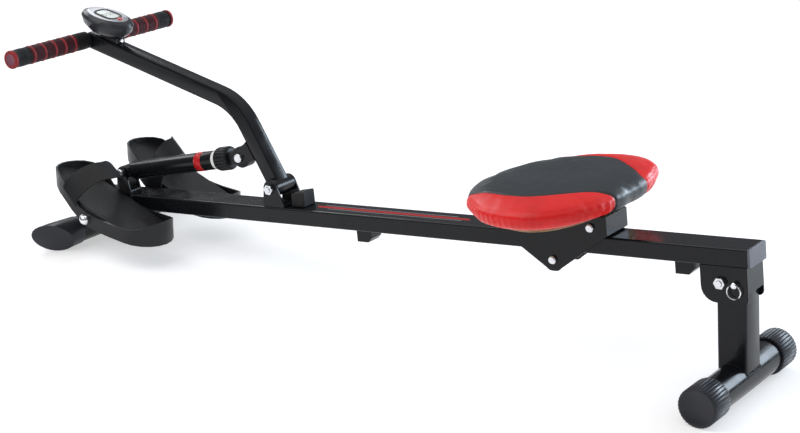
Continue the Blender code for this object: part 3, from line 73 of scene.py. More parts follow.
# ---- Places on the machine, from its frame -------------------------------------------------------
RAIL_SLOPE = math.radians(7.09)          # down to the front
ALONG = Vector((math.cos(RAIL_SLOPE), 0.0, math.sin(RAIL_SLOPE)))
NORMAL = Vector((-math.sin(RAIL_SLOPE), 0.0, math.cos(RAIL_SLOPE)))
RAIL_END = Vector((0.700674, 0.0, 0.2563))      # top face, at the rear end
SEAT_FROM_RAIL_END = 0.3480              # along the rail, at rest
SEAT_CENTRE = RAIL_END - ALONG * SEAT_FROM_RAIL_END
SEAT_FRAME = Matrix.Translation(SEAT_CENTRE) @ Matrix((ALONG, (0.0, 1.0, 0.0), NORMAL)).transposed().to_4x4()
SIDES = (("left", -1), ("right", 1))
LEG_LEAN = math.radians(4.5)             # the foot stands behind the pivot
LEG_POST_HALF = 0.025                    # half the square post
MONITOR_TILT = math.radians(10.0)        # its face looks up and to the rear
TREAD_CENTRE = Vector((-0.545, 0.0, 0.02))      # centre of the curved ribs on both sandals


def middle(node):
    """Centre of a part's box."""
    low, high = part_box(node)
    return (low + high) / 2


def tube_radius(node):
    """Radius of a tube that lies across the machine."""
    low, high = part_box(node)
    return (high.z - low.z) / 2


def sideways(sign):
    """Turns a shape made along Z to point out to one side."""
    return Matrix.Rotation(math.radians(-90 * sign), 4, "X")


def ray(angle):
    """Unit vector in the machine's middle plane, turned up from +X."""
    return Vector((math.cos(angle), 0.0, math.sin(angle)))


# ---- Settings ------------------------------------------------------------------------------------
def colour(name, text, value):
    """Colour setting."""
    return FloatVectorProperty(name=name, description=text, default=value, subtype="COLOR", min=0, max=1)


def size(name, text, value):
    """Length setting in metres."""
    return FloatProperty(name=name, description=text, default=value, unit="LENGTH", subtype="DISTANCE", min=0)


class RowerColours(bpy.types.PropertyGroup):
    """Colours of the machine."""
    steel: colour("Steel", "Gloss paint of the rail, arm and legs", (0.006, 0.0065, 0.008))
    plastic: colour("Plastic", "Moulded sandals, caps and knob", (0.011, 0.0115, 0.013))
    end_cap: colour("Rail cap", "Plug in the rail's rear end", (0.115, 0.120, 0.145))
    seat_side: colour("Seat sides", "Vinyl of the seat's side panels", (0.760, 0.011, 0.010))
    seat_top: colour("Seat top", "Vinyl of the seat's top panel", (0.022, 0.027, 0.031))
    foam: colour("Grip foam", "Dark red foam of the grips", (0.030, 0.001, 0.004))
    grip_ring: colour("Grip rings", "Raised rings of the grips", (0.230, 0.016, 0.020))
    monitor: colour("Monitor", "Top plate of the monitor", (0.330, 0.335, 0.360))
    stripe: colour("Rail stripe", "Stripe on top of the rail", (0.420, 0.012, 0.012))


class RowerSizes(bpy.types.PropertyGroup):
    """Sizes of the trim."""
    cap_ribs: IntProperty(name="Cap ribs", description="Ribs round each rear cap", default=34, min=8, max=60)
    knob_ribs: IntProperty(name="Knob ribs", description="Ribs round the tension knob", default=22,
                           min=8, max=48)
    rib_depth: size("Rib depth", "Depth of the grooves between the ribs", 0.0017)
    ring_rise: size("Grip ring rise", "Height of a grip ring over the foam", 0.0011)
    pad_swell: size("Seat swell", "Furthest the seat's foam swells", 0.0045)
    seam_depth: size("Seam depth", "Depth of the seat's seams", 0.0016)
    pucker: size("Pucker", "Height of the wrinkles in the seat's sides", 0.0008)
    edge: size("Edge rounding", "Rounding of steel and plastic edges", 0.0006)
    weld: size("Weld bead", "Radius of a weld bead", 0.0016)


class RowerStage(bpy.types.PropertyGroup):
    """Floor and lights."""
    floor: colour("Floor", "Pale studio floor", (0.62, 0.62, 0.63))
    key: FloatProperty(name="Key light", description="Large softbox over the front", default=30.0,
                       unit="POWER")
    rim: FloatProperty(name="Rim light", description="Cool softbox behind the rear foot", default=62.0,
                       unit="POWER")


# ---- Finishes ------------------------------------------------------------------------------------
class Finish:
    """One procedural material, built up on the Principled shader."""

    def __init__(self, name, base, rough, metallic=0.0, specular=0.5, coat=0.0, coat_rough=0.06):
        self.material = bpy.data.materials.new(name)
        self.material.use_nodes = True
        self.tree = self.material.node_tree
        self.shader = self.tree.nodes["Principled BSDF"]
        self.base = (*base, 1.0)
        self.put("Base Color", self.base)
        self.put("Roughness", rough)
        self.put("Metallic", metallic)
        self.put("Specular IOR Level", specular)
        self.put("Coat Weight", coat)
        self.put("Coat Roughness", coat_rough)
        self.coords = self.node("ShaderNodeTexCoord").outputs["Object"]

    def put(self, socket, value):
        """Sets one of the shader's own sockets."""
        self.shader.inputs[socket].default_value = value

    def node(self, kind, **settings):
        """New node with its settings and input values."""
        made = self.tree.nodes.new(kind)
        for key, value in settings.items():
            if hasattr(made, key):
                setattr(made, key, value)
            else:
                made.inputs[key.replace("_", " ").title()].default_value = value
        return made

    def link(self, output, target):
        """Joins two sockets."""
        self.tree.links.new(output, target)

    def placed(self, scale=(1, 1, 1), turn=(0, 0, 0), shift=(0, 0, 0)):
        """Object coordinates, moved, turned or stretched."""
        mapping = self.node("ShaderNodeMapping")
        mapping.inputs["Location"].default_value = shift
        mapping.inputs["Rotation"].default_value = turn
        mapping.inputs["Scale"].default_value = scale
        self.link(self.coords, mapping.inputs["Vector"])
        return mapping.outputs["Vector"]

    def clouds(self, scale, detail=3.0, vector=None):
        """Noise value."""
        made = self.node("ShaderNodeTexNoise", scale=scale, detail=detail)
        self.link(vector or self.coords, made.inputs["Vector"])
        return made.outputs["Fac"]

    def math(self, operation, first, second=0.0, third=None):
        """Math node on sockets or numbers."""
        made = self.node("ShaderNodeMath")
        made.operation = operation
        for i, value in enumerate((first, second, third)):
            if value is None:
                continue
            if isinstance(value, (int, float)):
                made.inputs[i].default_value = value
            else:
                self.link(value, made.inputs[i])
        return made.outputs["Value"]

    def ranged(self, value, low, high, to_low, to_high):
        """Maps a value from one range to another, smoothly."""
        made = self.node("ShaderNodeMapRange")
        made.interpolation_type = "SMOOTHSTEP"
        for i, number in enumerate((low, high, to_low, to_high)):
            made.inputs[i + 1].default_value = number
        self.link(value, made.inputs["Value"])
        return made.outputs["Result"]

    def tint(self, other, share):
        """Mixes another colour over the colour so far."""
        mix = self.node("ShaderNodeMix")
        mix.data_type = "RGBA"
        mix.clamp_factor = True
        before = self.shader.inputs["Base Color"]
        if before.is_linked:
            self.link(before.links[0].from_socket, mix.inputs[6])
        else:
            mix.inputs[6].default_value = self.base
        mix.inputs[7].default_value = (*other, 1.0)
        self.link(share, mix.inputs[0])
        self.link(mix.outputs[2], before)

    def roughen(self, low, high, scale, detail=4.0, vector=None):
        """Roughness that wanders between two values."""
        self.link(self.ranged(self.clouds(scale, detail, vector), 0.3, 0.7, low, high),
                  self.shader.inputs["Roughness"])

    def raise_by(self, height, distance, strength=1.0):
        """Bump, on top of the bumps so far."""
        made = self.node("ShaderNodeBump")
        made.inputs["Strength"].default_value = strength
        made.inputs["Distance"].default_value = distance
        self.link(height, made.inputs["Height"])
        before = self.shader.inputs["Normal"]
        if before.is_linked:
            self.link(before.links[0].from_socket, made.inputs["Normal"])
        self.link(made.outputs["Normal"], before)

    def cells(self, scale, vector=None):
        """Distance to the edge of irregular cells."""
        made = self.node("ShaderNodeTexVoronoi", scale=scale)
        made.feature = "DISTANCE_TO_EDGE"
        self.link(vector or self.coords, made.inputs["Vector"])
        return made.outputs["Distance"]


FINISHES = {}


def gloss_steel(name, base):
    """Gloss black powder coat: orange peel, dust and faint handling marks."""
    made = Finish(name, base, 0.24, specular=0.20, coat=0.10, coat_rough=0.05)
    made.roughen(0.16, 0.30, 26.0, 5.0)
    made.tint(tuple(c * 1.7 + 0.003 for c in base), made.ranged(made.clouds(16.0, 6.0), 0.5, 0.8, 0.0, 0.5))
    made.raise_by(made.clouds(620.0, 2.0), 0.00003, 0.3)
    scuffs = made.clouds(60.0, 2.0, made.placed((1.0, 9.0, 30.0)))
    made.raise_by(scuffs, 0.00003, 0.25)
    return made


def moulded(name, base, rough, grain=1500.0, depth=0.00006):
    """Moulded plastic: fine spark-eroded grain and slight flow marks."""
    made = Finish(name, base, rough, specular=0.28)
    made.roughen(rough - 0.07, rough + 0.09, 30.0, 5.0)
    made.tint(tuple(min(1.0, c * 1.45 + 0.004) for c in base),
              made.ranged(made.clouds(14.0, 6.0), 0.45, 0.75, 0.0, 0.6))
    made.raise_by(made.clouds(grain, 2.0), depth, 0.45)
    return made


def plated(name, base, rough, brushed):
    """Bright plated metal with turning marks and a dull bloom in places."""
    made = Finish(name, base, rough, metallic=1.0)
    made.roughen(rough * 0.6, rough * 1.7, 140.0, 5.0)
    made.tint(tuple(c * 0.66 for c in base), made.ranged(made.clouds(90.0, 6.0), 0.52, 0.78, 0.0, 0.7))
    made.raise_by(made.clouds(900.0, 2.0, made.placed((0.2, 0.2, 6.0))), 0.00002, brushed)
    return made


def striped_rail(steel, stripe):
    """Gloss steel with a slanted stripe between two thin lines on the rail's top."""
    rail = gloss_steel("gloss_black_rail", steel)
    flat = rail.placed(turn=(0.0, RAIL_SLOPE, 0.0), shift=(-RAIL_END.dot(ALONG), 0.0, -RAIL_END.dot(NORMAL)))
    split = rail.node("ShaderNodeSeparateXYZ")
    rail.link(flat, split.inputs["Vector"])
    along, across, up = split.outputs
    top = rail.math("COMPARE", up, 0.0, 0.0015)
    grey = (0.25, 0.26, 0.28)
    for low, high, offset, half, shade in ((-0.86, -0.53, 0.0, 0.0050, stripe),
                                           (-0.84, -0.55, 0.0095, 0.0011, grey),
                                           (-0.84, -0.55, -0.0095, 0.0011, grey)):
        slanted = rail.math("ADD", along, across)
        mask = rail.math("COMPARE", slanted, (low + high) / 2, (high - low) / 2)
        mask = rail.math("MULTIPLY", mask, rail.math("COMPARE", across, offset, half))
        rail.tint(shade, rail.math("MULTIPLY", mask, top))
    return rail


def treaded_sole(plastic):
    """Sandal plastic with curved ribs on the faces that look up, ahead of the strap."""
    sole = moulded("satin_black_sole", plastic, 0.36, 1300.0)
    ribs = sole.node("ShaderNodeTexWave", scale=105.0, distortion=0.4, detail=0.0)
    ribs.wave_type = "RINGS"
    ribs.rings_direction = "Y"
    sole.link(sole.placed(shift=-TREAD_CENTRE), ribs.inputs["Vector"])
    surface = sole.node("ShaderNodeNewGeometry")
    facing = sole.node("ShaderNodeSeparateXYZ")
    sole.link(surface.outputs["Normal"], facing.inputs["Vector"])
    treads = sole.math("MULTIPLY", sole.ranged(ribs.outputs["Fac"], 0.2, 0.8, 0.0, 1.0),
                       sole.ranged(facing.outputs["Z"], 0.72, 0.92, 0.0, 1.0))
    spot = sole.node("ShaderNodeSeparateXYZ")
    sole.link(sole.coords, spot.inputs["Vector"])
    treads = sole.math("MULTIPLY", treads, sole.ranged(spot.outputs["X"], -0.540, -0.565, 0.0, 1.0))
    sole.raise_by(treads, 0.0005, 0.45)
    return sole


def plywood():
    """Sealed plywood with its grain along the machine."""
    wood = Finish("sealed_plywood", (0.40, 0.27, 0.15), 0.62)
    wood.roughen(0.5, 0.75, 60.0)
    grain = wood.clouds(30.0, 6.0, wood.placed((1.0, 14.0, 14.0)))
    wood.tint((0.22, 0.13, 0.06), wood.ranged(grain, 0.4, 0.7, 0, 1))
    wood.raise_by(wood.clouds(90.0, 5.0, wood.placed((1.0, 12.0, 12.0))), 0.0002, 0.5)
    return wood


def foam_rubber(name, base):
    """Soft open foam: no shine, tiny cells."""
    foam = Finish(name, base, 0.82, specular=0.3)
    foam.put("Sheen Weight", 0.05)
    foam.roughen(0.7, 0.95, 120.0)
    worn = foam.ranged(foam.clouds(260.0, 6.0), 0.45, 0.75, 0.0, 0.7)
    foam.tint(tuple(c * 1.8 + 0.002 for c in base), worn)
    foam.raise_by(foam.cells(850.0), 0.00035, 0.7)
    return foam


def display_window():
    """Pale green display under a clear window."""
    glass = Finish("display_window", (0.25, 0.30, 0.27), 0.16, specular=0.35, coat=0.15, coat_rough=0.03)
    glass.tint((0.20, 0.24, 0.22), glass.ranged(glass.clouds(70.0, 3.0), 0.4, 0.7, 0.0, 0.7))
    glass.roughen(0.09, 0.2, 200.0)
    return glass


def two_tone_vinyl(top, side):
    """Seat cover: its panels, and the painted shade along its seams, come from the pad's own attributes."""
    vinyl = Finish("two_tone_vinyl", top, 0.40, specular=0.34)
    panel = vinyl.node("ShaderNodeAttribute", attribute_name="panel_edge").outputs["Fac"]
    seam = vinyl.node("ShaderNodeAttribute", attribute_name="seam_shade_share").outputs["Fac"]
    red = vinyl.ranged(panel, -0.0004, 0.0004, 0.0, 1.0)
    vinyl.tint(tuple(c * 1.5 for c in top), vinyl.ranged(vinyl.clouds(9.0, 5.0), 0.4, 0.75, 0.0, 0.6))
    vinyl.tint(side, red)
    dull = vinyl.ranged(vinyl.clouds(16.0, 5.0), 0.45, 0.8, 0, 0.5)
    vinyl.tint((0.42, 0.008, 0.009), vinyl.math("MULTIPLY", red, dull))
    # Painted shade: a near-black red laid along the seams, where the grooves' shadow falls.
    vinyl.tint((0.030, 0.004, 0.004), vinyl.ranged(seam, 0.55, 1.0, 0.0, 0.75))
    vinyl.roughen(0.31, 0.47, 45.0, 5.0)
    vinyl.raise_by(vinyl.cells(620.0), 0.00022, 0.45)
    vinyl.raise_by(vinyl.clouds(260.0, 4.0), 0.00012, 0.35)
    return vinyl


def make_finishes(colours):
    """Every finish on the machine, by name."""
    steel = tuple(colours.steel)
    plastic = tuple(colours.plastic)
    FINISHES["steel"] = gloss_steel("gloss_black_steel", steel)
    FINISHES["rail"] = striped_rail(steel, tuple(colours.stripe))
    FINISHES["plastic"] = moulded("satin_black_plastic", plastic, 0.42)
    FINISHES["caps"] = moulded("charcoal_cap_plastic", (0.022, 0.023, 0.029), 0.36)
    FINISHES["rail_cap"] = moulded("grey_cap_plastic", tuple(colours.end_cap), 0.34)
    FINISHES["monitor_case"] = moulded("monitor_case_plastic", (0.028, 0.029, 0.034), 0.26)
    FINISHES["silver"] = moulded("silver_plastic", tuple(colours.monitor), 0.25, 2200.0, 0.00002)
    FINISHES["silver"].put("Metallic", 0.30)
    FINISHES["white"] = moulded("white_plastic", (0.78, 0.78, 0.77), 0.34)
    FINISHES["red"] = moulded("red_plastic", (0.50, 0.012, 0.014), 0.26)
    FINISHES["plug"] = moulded("plum_grip_plug", (0.170, 0.055, 0.085), 0.36)
    FINISHES["nylon"] = moulded("natural_nylon", (0.58, 0.57, 0.53), 0.44)
    FINISHES["rubber"] = moulded("black_rubber", (0.014, 0.014, 0.015), 0.66, 700.0, 0.00012)
    FINISHES["sole"] = treaded_sole(plastic)
    FINISHES["zinc"] = plated("zinc_plate", (0.74, 0.75, 0.78), 0.24, 0.5)
    FINISHES["chrome"] = plated("bright_chrome", (0.82, 0.83, 0.85), 0.09, 0.15)
    FINISHES["wood"] = plywood()
    FINISHES["foam_black"] = foam_rubber("foam_black_sponge", (0.004, 0.004, 0.005))
    FINISHES["foam_red"] = foam_rubber("foam_red_sponge", tuple(colours.foam))
    FINISHES["grip_ring"] = moulded("dull_red_rubber", tuple(colours.grip_ring), 0.52, 1100.0, 0.0001)
    FINISHES["glass"] = display_window()
    FINISHES["ink"] = moulded("display_ink", (0.020, 0.024, 0.022), 0.30)
    FINISHES["vinyl"] = two_tone_vinyl(tuple(colours.seat_top), tuple(colours.seat_side))


# ---- Shapes --------------------------------------------------------------------------------------
def added(name, data):
    """New object in the scene."""
    made = bpy.data.objects.new(name, data)
    bpy.context.scene.collection.objects.link(made)
    return made


def meshed(name, bm):
    """Mesh of a finished bmesh."""
    mesh = bpy.data.meshes.new(name)
    bm.to_mesh(mesh)
    bm.free()
    return mesh


def piece(name, bm, finishes, body, stands_for=(), place=None, smooth=True):
    """Finishes a new piece: mesh placed, normals outwards, materials, and the body it rides."""
    bmesh.ops.recalc_face_normals(bm, faces=bm.faces)
    mesh = meshed(name, bm)
    if place is not None:
        mesh.transform(place)
    if smooth:
        mesh.shade_smooth()
    else:
        mesh.shade_flat()
    made = added(name, mesh)
    for key in finishes:
        mesh.materials.append(FINISHES[key].material)
    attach(made, body)
    if stands_for:
        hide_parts(*stands_for)
    return made


def sharpen(mesh, degrees):
    """Marks the edges that turn by more than an angle as sharp."""
    bm = bmesh.new()
    bm.from_mesh(mesh)
    for edge in bm.edges:
        edge.smooth = len(edge.link_faces) == 2 and edge.calc_face_angle(0.0) < math.radians(degrees)
    bm.to_mesh(mesh)
    bm.free()


def rounded(node, finish, edge=0.0, degrees=32.0):
    """Stands for a part with its own shape merged, shaded smooth and its edges eased."""
    source = frame["nodes"][node]
    bm = bmesh.new()
    bm.from_mesh(source.data)
    bmesh.ops.remove_doubles(bm, verts=bm.verts, dist=0.00001)
    bmesh.ops.dissolve_limit(bm, angle_limit=math.radians(0.8), verts=bm.verts, edges=bm.edges)
    mesh = meshed(node + "_finished", bm)
    mesh.shade_smooth()
    sharpen(mesh, degrees)
    made = added(node + "_finished", mesh)
    mesh.materials.append(FINISHES[finish].material)
    if edge:
        ease = made.modifiers.new("Edges", "BEVEL")
        ease.width = edge
        ease.segments = 2
        ease.profile = 0.5
        ease.limit_method = "ANGLE"
        ease.angle_limit = math.radians(degrees)
        ease.use_clamp_overlap = True
        ease.harden_normals = True
    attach(made, source["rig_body"])
    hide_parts(node)
    return made


def spun(profile, steps=48):
    """Shape turned about Z through (radius, height) points."""
    bm = bmesh.new()
    verts = [bm.verts.new((r, 0.0, z)) for r, z in profile]
    edges = [bm.edges.new(pair) for pair in zip(verts, verts[1:])]
    bmesh.ops.spin(bm, geom=verts + edges, cent=(0, 0, 0), axis=(0, 0, 1), dvec=(0, 0, 0),
                   angle=2 * math.pi, steps=steps, use_merge=True, use_duplicate=False)
    bmesh.ops.remove_doubles(bm, verts=bm.verts, dist=0.000001)
    return bm


def grow_ring(bm, edges):
    """Extrudes a ring of edges in place; gives the new ring's points and edges."""
    grown = bmesh.ops.extrude_edge_only(bm, edges=edges)["geom"]
    ring = [part for part in grown if isinstance(part, bmesh.types.BMVert)]
    rim = [part for part in grown if isinstance(part, bmesh.types.BMEdge)
           and part.verts[0] in ring and part.verts[1] in ring]
    return ring, rim


def fluted(stations, ribs, depth, steps=6):
    """Turned cup whose wall is fluted; stations are (radius, height, share of the flutes)."""
    bm = bmesh.new()
    ring = bmesh.ops.create_circle(bm, cap_ends=True, segments=ribs * steps, radius=1.0)["verts"]
    edges = bm.edges[:]
    for i, (radius, height, share) in enumerate(stations):
        if i:
            ring, edges = grow_ring(bm, edges)
        for vert in ring:
            angle = math.atan2(vert.co.y, vert.co.x)
            groove = max(0.0, math.cos(angle * ribs)) ** 3
            reach = radius - depth * share * groove
            vert.co = (reach * math.cos(angle), reach * math.sin(angle), height)
    bmesh.ops.holes_fill(bm, edges=edges, sides=0)
    return bm


def beads(name, points, radius, body):
    """Row of overlapping weld ripples along a line of points."""
    bm = bmesh.new()
    for i, (point, aim) in enumerate(points):
        grow = radius * (1.0 + 0.12 * math.sin(i * 2.7))
        shape = Matrix.Translation(point) @ aim.to_track_quat("X", "Z").to_matrix().to_4x4()
        shape = shape @ Matrix.Diagonal((0.62, 1.0, 0.8, 1.0))
        bmesh.ops.create_icosphere(bm, subdivisions=2, radius=grow, matrix=shape)
    return piece(name, bm, ("steel",), body)


def row(start, end, pitch):
    """Evenly spaced (point, direction) pairs from start to end."""
    aim = end - start
    count = max(2, int(aim.length / pitch) + 1)
    return [(start.lerp(end, i / (count - 1)), aim.normalized()) for i in range(count)]


def ringed(centre, radius, half, start, sweep, steps):
    """(point, direction) pairs along two arcs round a cross tube, one on each side of its middle."""
    points = []
    for y_sign in (-1, 1):
        for i in range(steps + 1):
            aim = ray(math.radians(start + sweep * i / steps))
            points.append((centre + aim * radius + Vector((0, half * y_sign, 0)), Vector((-aim.z, 0, aim.x))))
    return points


# ---- Operators -----------------------------------------------------------------------------------
def trim_sizes(context):
    """Sizes of the trim, with the finishes made the first time."""
    if not FINISHES:
        make_finishes(context.scene.rower_colours)
    return context.scene.rower_sizes


class ROWER_OT_steelwork(bpy.types.Operator):
    """Gloss painted rail, brackets, legs, arm and handlebar"""
    bl_idname = "rower.steelwork"
    bl_label = "Steelwork"
    bl_options = {"REGISTER", "UNDO"}

    def execute(self, context):
        sizes = trim_sizes(context)
        rounded("main_rail", "rail", sizes.edge, 12.0)
        rounded("arm_tube", "steel", 0.0, 30.0)
        rounded("leg_post", "steel", 0.0, 30.0)
        for node in ("arm_bracket", "cylinder_bracket", "leg_bracket", "rod_end_bracket", "seat_carriage",
                     "seat_stop_front", "seat_stop_rear"):
            rounded(node, "steel", sizes.edge)
        for node in ("front_foot_tube", "rear_foot_tube", "arm_pivot_sleeve", "handlebar_tube"):
            rounded(node, "steel", 0.0)
        return {"FINISHED"}


class ROWER_OT_welds(bpy.types.Operator):
    """Weld beads where the tubes meet"""
    bl_idname = "rower.welds"
    bl_label = "Welds"
    bl_options = {"REGISTER", "UNDO"}

    def execute(self, context):
        sizes = trim_sizes(context)
        foot = middle("rear_foot_tube")
        radius = tube_radius("rear_foot_tube")
        down = Vector((math.sin(LEG_LEAN), 0.0, -math.cos(LEG_LEAN)))
        back = ray(LEG_LEAN)
        half = LEG_POST_HALF
        rise = math.sqrt(radius * radius - half * half)
        points = []
        for x_sign in (-1, 1):
            place = foot - down * rise + back * (half * x_sign)
            points += row(place + Vector((0, -half, 0)), place + Vector((0, half, 0)), sizes.weld * 1.1)
        for y_sign in (-1, 1):
            for i in range(31):
                angle = (-1 + 2 * i / 30) * math.asin(half / radius)
                spot = foot + (back * math.sin(angle) - down * math.cos(angle)) * radius
                points.append((spot + Vector((0, half * y_sign, 0)), back))
        beads("leg_weld", points, sizes.weld, "leg")

        bar = ringed(middle("handlebar_tube"), radius=0.0127, half=0.0150, start=-70, sweep=140, steps=12)
        beads("handlebar_weld", bar, sizes.weld * 0.8, "arm")
        pivot = ringed(middle("arm_pivot_sleeve"), radius=0.0166, half=0.0153, start=66, sweep=116, steps=14)
        beads("pivot_weld", pivot, sizes.weld * 0.9, "arm")
        return {"FINISHED"}


class ROWER_OT_mouldings(bpy.types.Operator):
    """Plastic sandals, straps, caps, hub and small parts"""
    bl_idname = "rower.mouldings"
    bl_label = "Mouldings"
    bl_options = {"REGISTER", "UNDO"}

    def execute(self, context):
        sizes = trim_sizes(context)
        for side in ("left", "right"):
            rounded("footbed_" + side, "sole", sizes.edge, 40.0)
            rounded("foot_strap_" + side, "plastic", 0.0, 50.0)
            rounded("front_foot_cap_" + side, "caps", sizes.edge * 1.6, 40.0)
        rounded("rail_rear_cap", "rail_cap", sizes.edge)
        rounded("arm_stop_bumper", "rubber", sizes.edge)
        rounded("rod_end_hub", "plastic", sizes.edge)
        rounded("arm_pivot_bush", "plastic")
        rounded("scale_ring", "white", 0.0)
        for node in ("roller_front", "roller_rear", "roller_lower"):
            rounded(node, "nylon")
        rounded("seat_board", "wood", sizes.edge * 2)
        return {"FINISHED"}


class ROWER_OT_fasteners(bpy.types.Operator):
    """Plated bolts, nuts, pins, axles and the piston rod"""
    bl_idname = "rower.fasteners"
    bl_label = "Fasteners"
    bl_options = {"REGISTER", "UNDO"}

    def execute(self, context):
        sizes = trim_sizes(context)
        for node in ("arm_pivot_bolt", "arm_pivot_nut", "leg_pivot_bolt", "leg_pivot_nut",
                     "cylinder_pin_head", "cylinder_pin_clip", "rod_end_pin", "roller_axle_front",
                     "roller_axle_rear", "roller_axle_lower", "pedal_axle"):
            rounded(node, "zinc", sizes.edge * 0.5)
        for node in ("pedal_cap_nut_left", "pedal_cap_nut_right", "leg_lock_pin", "lock_pin_ring",
                     "console_screw", "piston_rod"):
            rounded(node, "chrome", 0.0)
        return {"FINISHED"}


class ROWER_OT_rear_caps(bpy.types.Operator):
    """Ribbed caps on the ends of the rear foot"""
    bl_idname = "rower.rear_caps"
    bl_label = "Rear caps"
    bl_options = {"REGISTER", "UNDO"}

    def execute(self, context):
        sizes = trim_sizes(context)
        for side, sign in SIDES:
            node = "rear_foot_cap_" + side
            low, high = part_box(node)
            radius = (high.z - low.z) / 2
            length = high.y - low.y
            bore = tube_radius("rear_foot_tube") + 0.0004
            stations = [(radius - 0.0075, -0.0012, 0.0), (radius - 0.0066, -0.0004, 0.0),
                        (radius - 0.0058, 0.0, 0.0), (radius - 0.0030, 0.0, 0.0),
                        (radius - 0.0012, -0.0007, 0.5), (radius, -0.0024, 1.0),
                        (radius, -length * 0.5, 1.0), (radius, -length + 0.0012, 1.0),
                        (radius - 0.0007, -length + 0.0002, 0.6), (radius - 0.0014, -length, 0.0),
                        (bore, -length, 0.0), (bore, -0.0040, 0.0), (bore - 0.0040, -0.0034, 0.0)]
            turn = sideways(sign)
            centre = middle(node)
            face = Vector((centre.x, low.y if sign < 0 else high.y, centre.z))
            bm = fluted(stations, sizes.cap_ribs, sizes.rib_depth)
            made = piece("rear_cap_" + side, bm, ("caps",), "leg", (node,),
                         Matrix.Translation(face) @ turn)
            sharpen(made.data, 42.0)
        return {"FINISHED"}


class ROWER_OT_damper(bpy.types.Operator):
    """Cylinder with its band, and the ribbed tension knob"""
    bl_idname = "rower.damper"
    bl_label = "Damper"
    bl_options = {"REGISTER", "UNDO"}

    def execute(self, context):
        sizes = trim_sizes(context)
        rounded("cylinder_body", "steel", 0.0)
        front = middle("cylinder_pin_head")
        rear = middle("rod_end_pin")
        front.y = rear.y = 0.0
        aim = (rear - front).normalized()
        along = aim.to_track_quat("Z", "Y").to_matrix().to_4x4()
        knob = (middle("tension_knob") - front).dot(aim) - 0.0160
        radius = 0.0225
        bore = 0.0066
        stations = [(bore, 0.0010, 0.0), (bore, 0.0, 0.0), (radius - 0.0050, 0.0, 0.0),
                    (radius - 0.0026, 0.0004, 0.3), (radius - 0.0006, 0.0024, 1.0), (radius, 0.0055, 1.0),
                    (radius, 0.0262, 1.0), (radius - 0.0010, 0.0290, 1.0), (radius - 0.0036, 0.0310, 0.5),
                    (radius - 0.0070, 0.0316, 0.0), (0.0120, 0.0316, 0.0)]
        stations = [(reach, knob + height, share) for reach, height, share in stations]
        bm = fluted(stations, sizes.knob_ribs, sizes.rib_depth * 1.1)
        place = Matrix.Translation(front) @ along
        made = piece("ribbed_knob", bm, ("plastic",), "knob", ("tension_knob",), place)
        sharpen(made.data, 48.0)

        barrel = 0.0180
        low, high = 0.1995, 0.2165
        band = spun([(barrel + 0.00005, low), (barrel + 0.00030, low + 0.0003),
                     (barrel + 0.00030, high - 0.0003), (barrel + 0.00005, high)], 56)
        piece("cylinder_band", band, ("red",), "cylinder", (), place)
        return {"FINISHED"}


GRIP_RINGS = (0.059, 0.085, 0.110, 0.137, 0.164)      # raised rings, out from the handlebar's middle


class ROWER_OT_grips(bpy.types.Operator):
    """Foam grips with raised rings, and their end plugs"""
    bl_idname = "rower.grips"
    bl_label = "Grips"
    bl_options = {"REGISTER", "UNDO"}

    def execute(self, context):
        sizes = trim_sizes(context)
        bar = Matrix.Translation(middle("handlebar_tube"))
        for side, sign in SIDES:
            place = bar @ sideways(sign)
            piece("foam_grip_" + side, self.foam(sizes.ring_rise), ("foam_black", "foam_red", "grip_ring"),
                  "arm", ("grip_" + side,), place)
            made = piece("grip_end_" + side, self.plug(), ("plug", "grip_ring"), "arm",
                         ("grip_plug_" + side,), place)
            sharpen(made.data, 40.0)
        return {"FINISHED"}

    def foam(self, rise):
        """One foam sleeve: slightly barrelled between its raised rings."""
        inner, outer = 0.0172, 0.2066
        red_start, red_end = 0.0530, 0.1720
        foam, bore = 0.0164, 0.0129
        half_ring = 0.0026
        profile = [(bore, inner), (foam - 0.0012, inner), (foam, inner + 0.0014)]
        stops = [inner + 0.0014, red_start, *GRIP_RINGS, red_end, outer - 0.0016]
        for low, high in zip(stops, stops[1:]):
            start = low + (half_ring if low in GRIP_RINGS else 0.0)
            end = high - (half_ring if high in GRIP_RINGS else 0.0)
            for i in range(1, 6):
                share = i / 6
                profile.append((foam + 0.0005 * math.sin(math.pi * share), start + (end - start) * share))
            profile.append((foam - (0.0 if high in GRIP_RINGS else 0.0003), end))
            if high in GRIP_RINGS:
                for i in range(9):
                    angle = math.pi * i / 8
                    profile.append((foam + rise * math.sin(angle) ** 0.7, high - 0.0024 * math.cos(angle)))
                profile.append((foam, high + half_ring))
        profile += [(foam, outer - 0.0016), (foam - 0.0014, outer), (bore, outer)]
        bm = spun(profile, 56)
        for face in bm.faces:
            spot = face.calc_center_median()
            near = min(abs(spot.z - ring) for ring in GRIP_RINGS)
            if near < 0.0025 and math.hypot(spot.x, spot.y) > foam - 0.0002:
                face.material_index = 2
            elif red_start < spot.z < red_end:
                face.material_index = 1
        return bm

    def plug(self):
        """One end plug: a domed button with a stem in the tube."""
        end = 0.2130
        outline = ((0.0, -0.0012), (0.0088, -0.0012), (0.0098, -0.0008), (0.0106, -0.0001), (0.0118, 0.0),
                   (0.0152, 0.0), (0.0168, -0.0010), (0.0173, -0.0024), (0.0173, -0.0056),
                   (0.0168, -0.0062), (0.0106, -0.0062), (0.0106, -0.0240), (0.0, -0.0240))
        bm = spun([(radius, end + height) for radius, height in outline], 48)
        for face in bm.faces:
            spot = face.calc_center_median()
            if spot.z > end - 0.0070 and math.hypot(spot.x, spot.y) > 0.0108:
                face.material_index = 1
        return bm


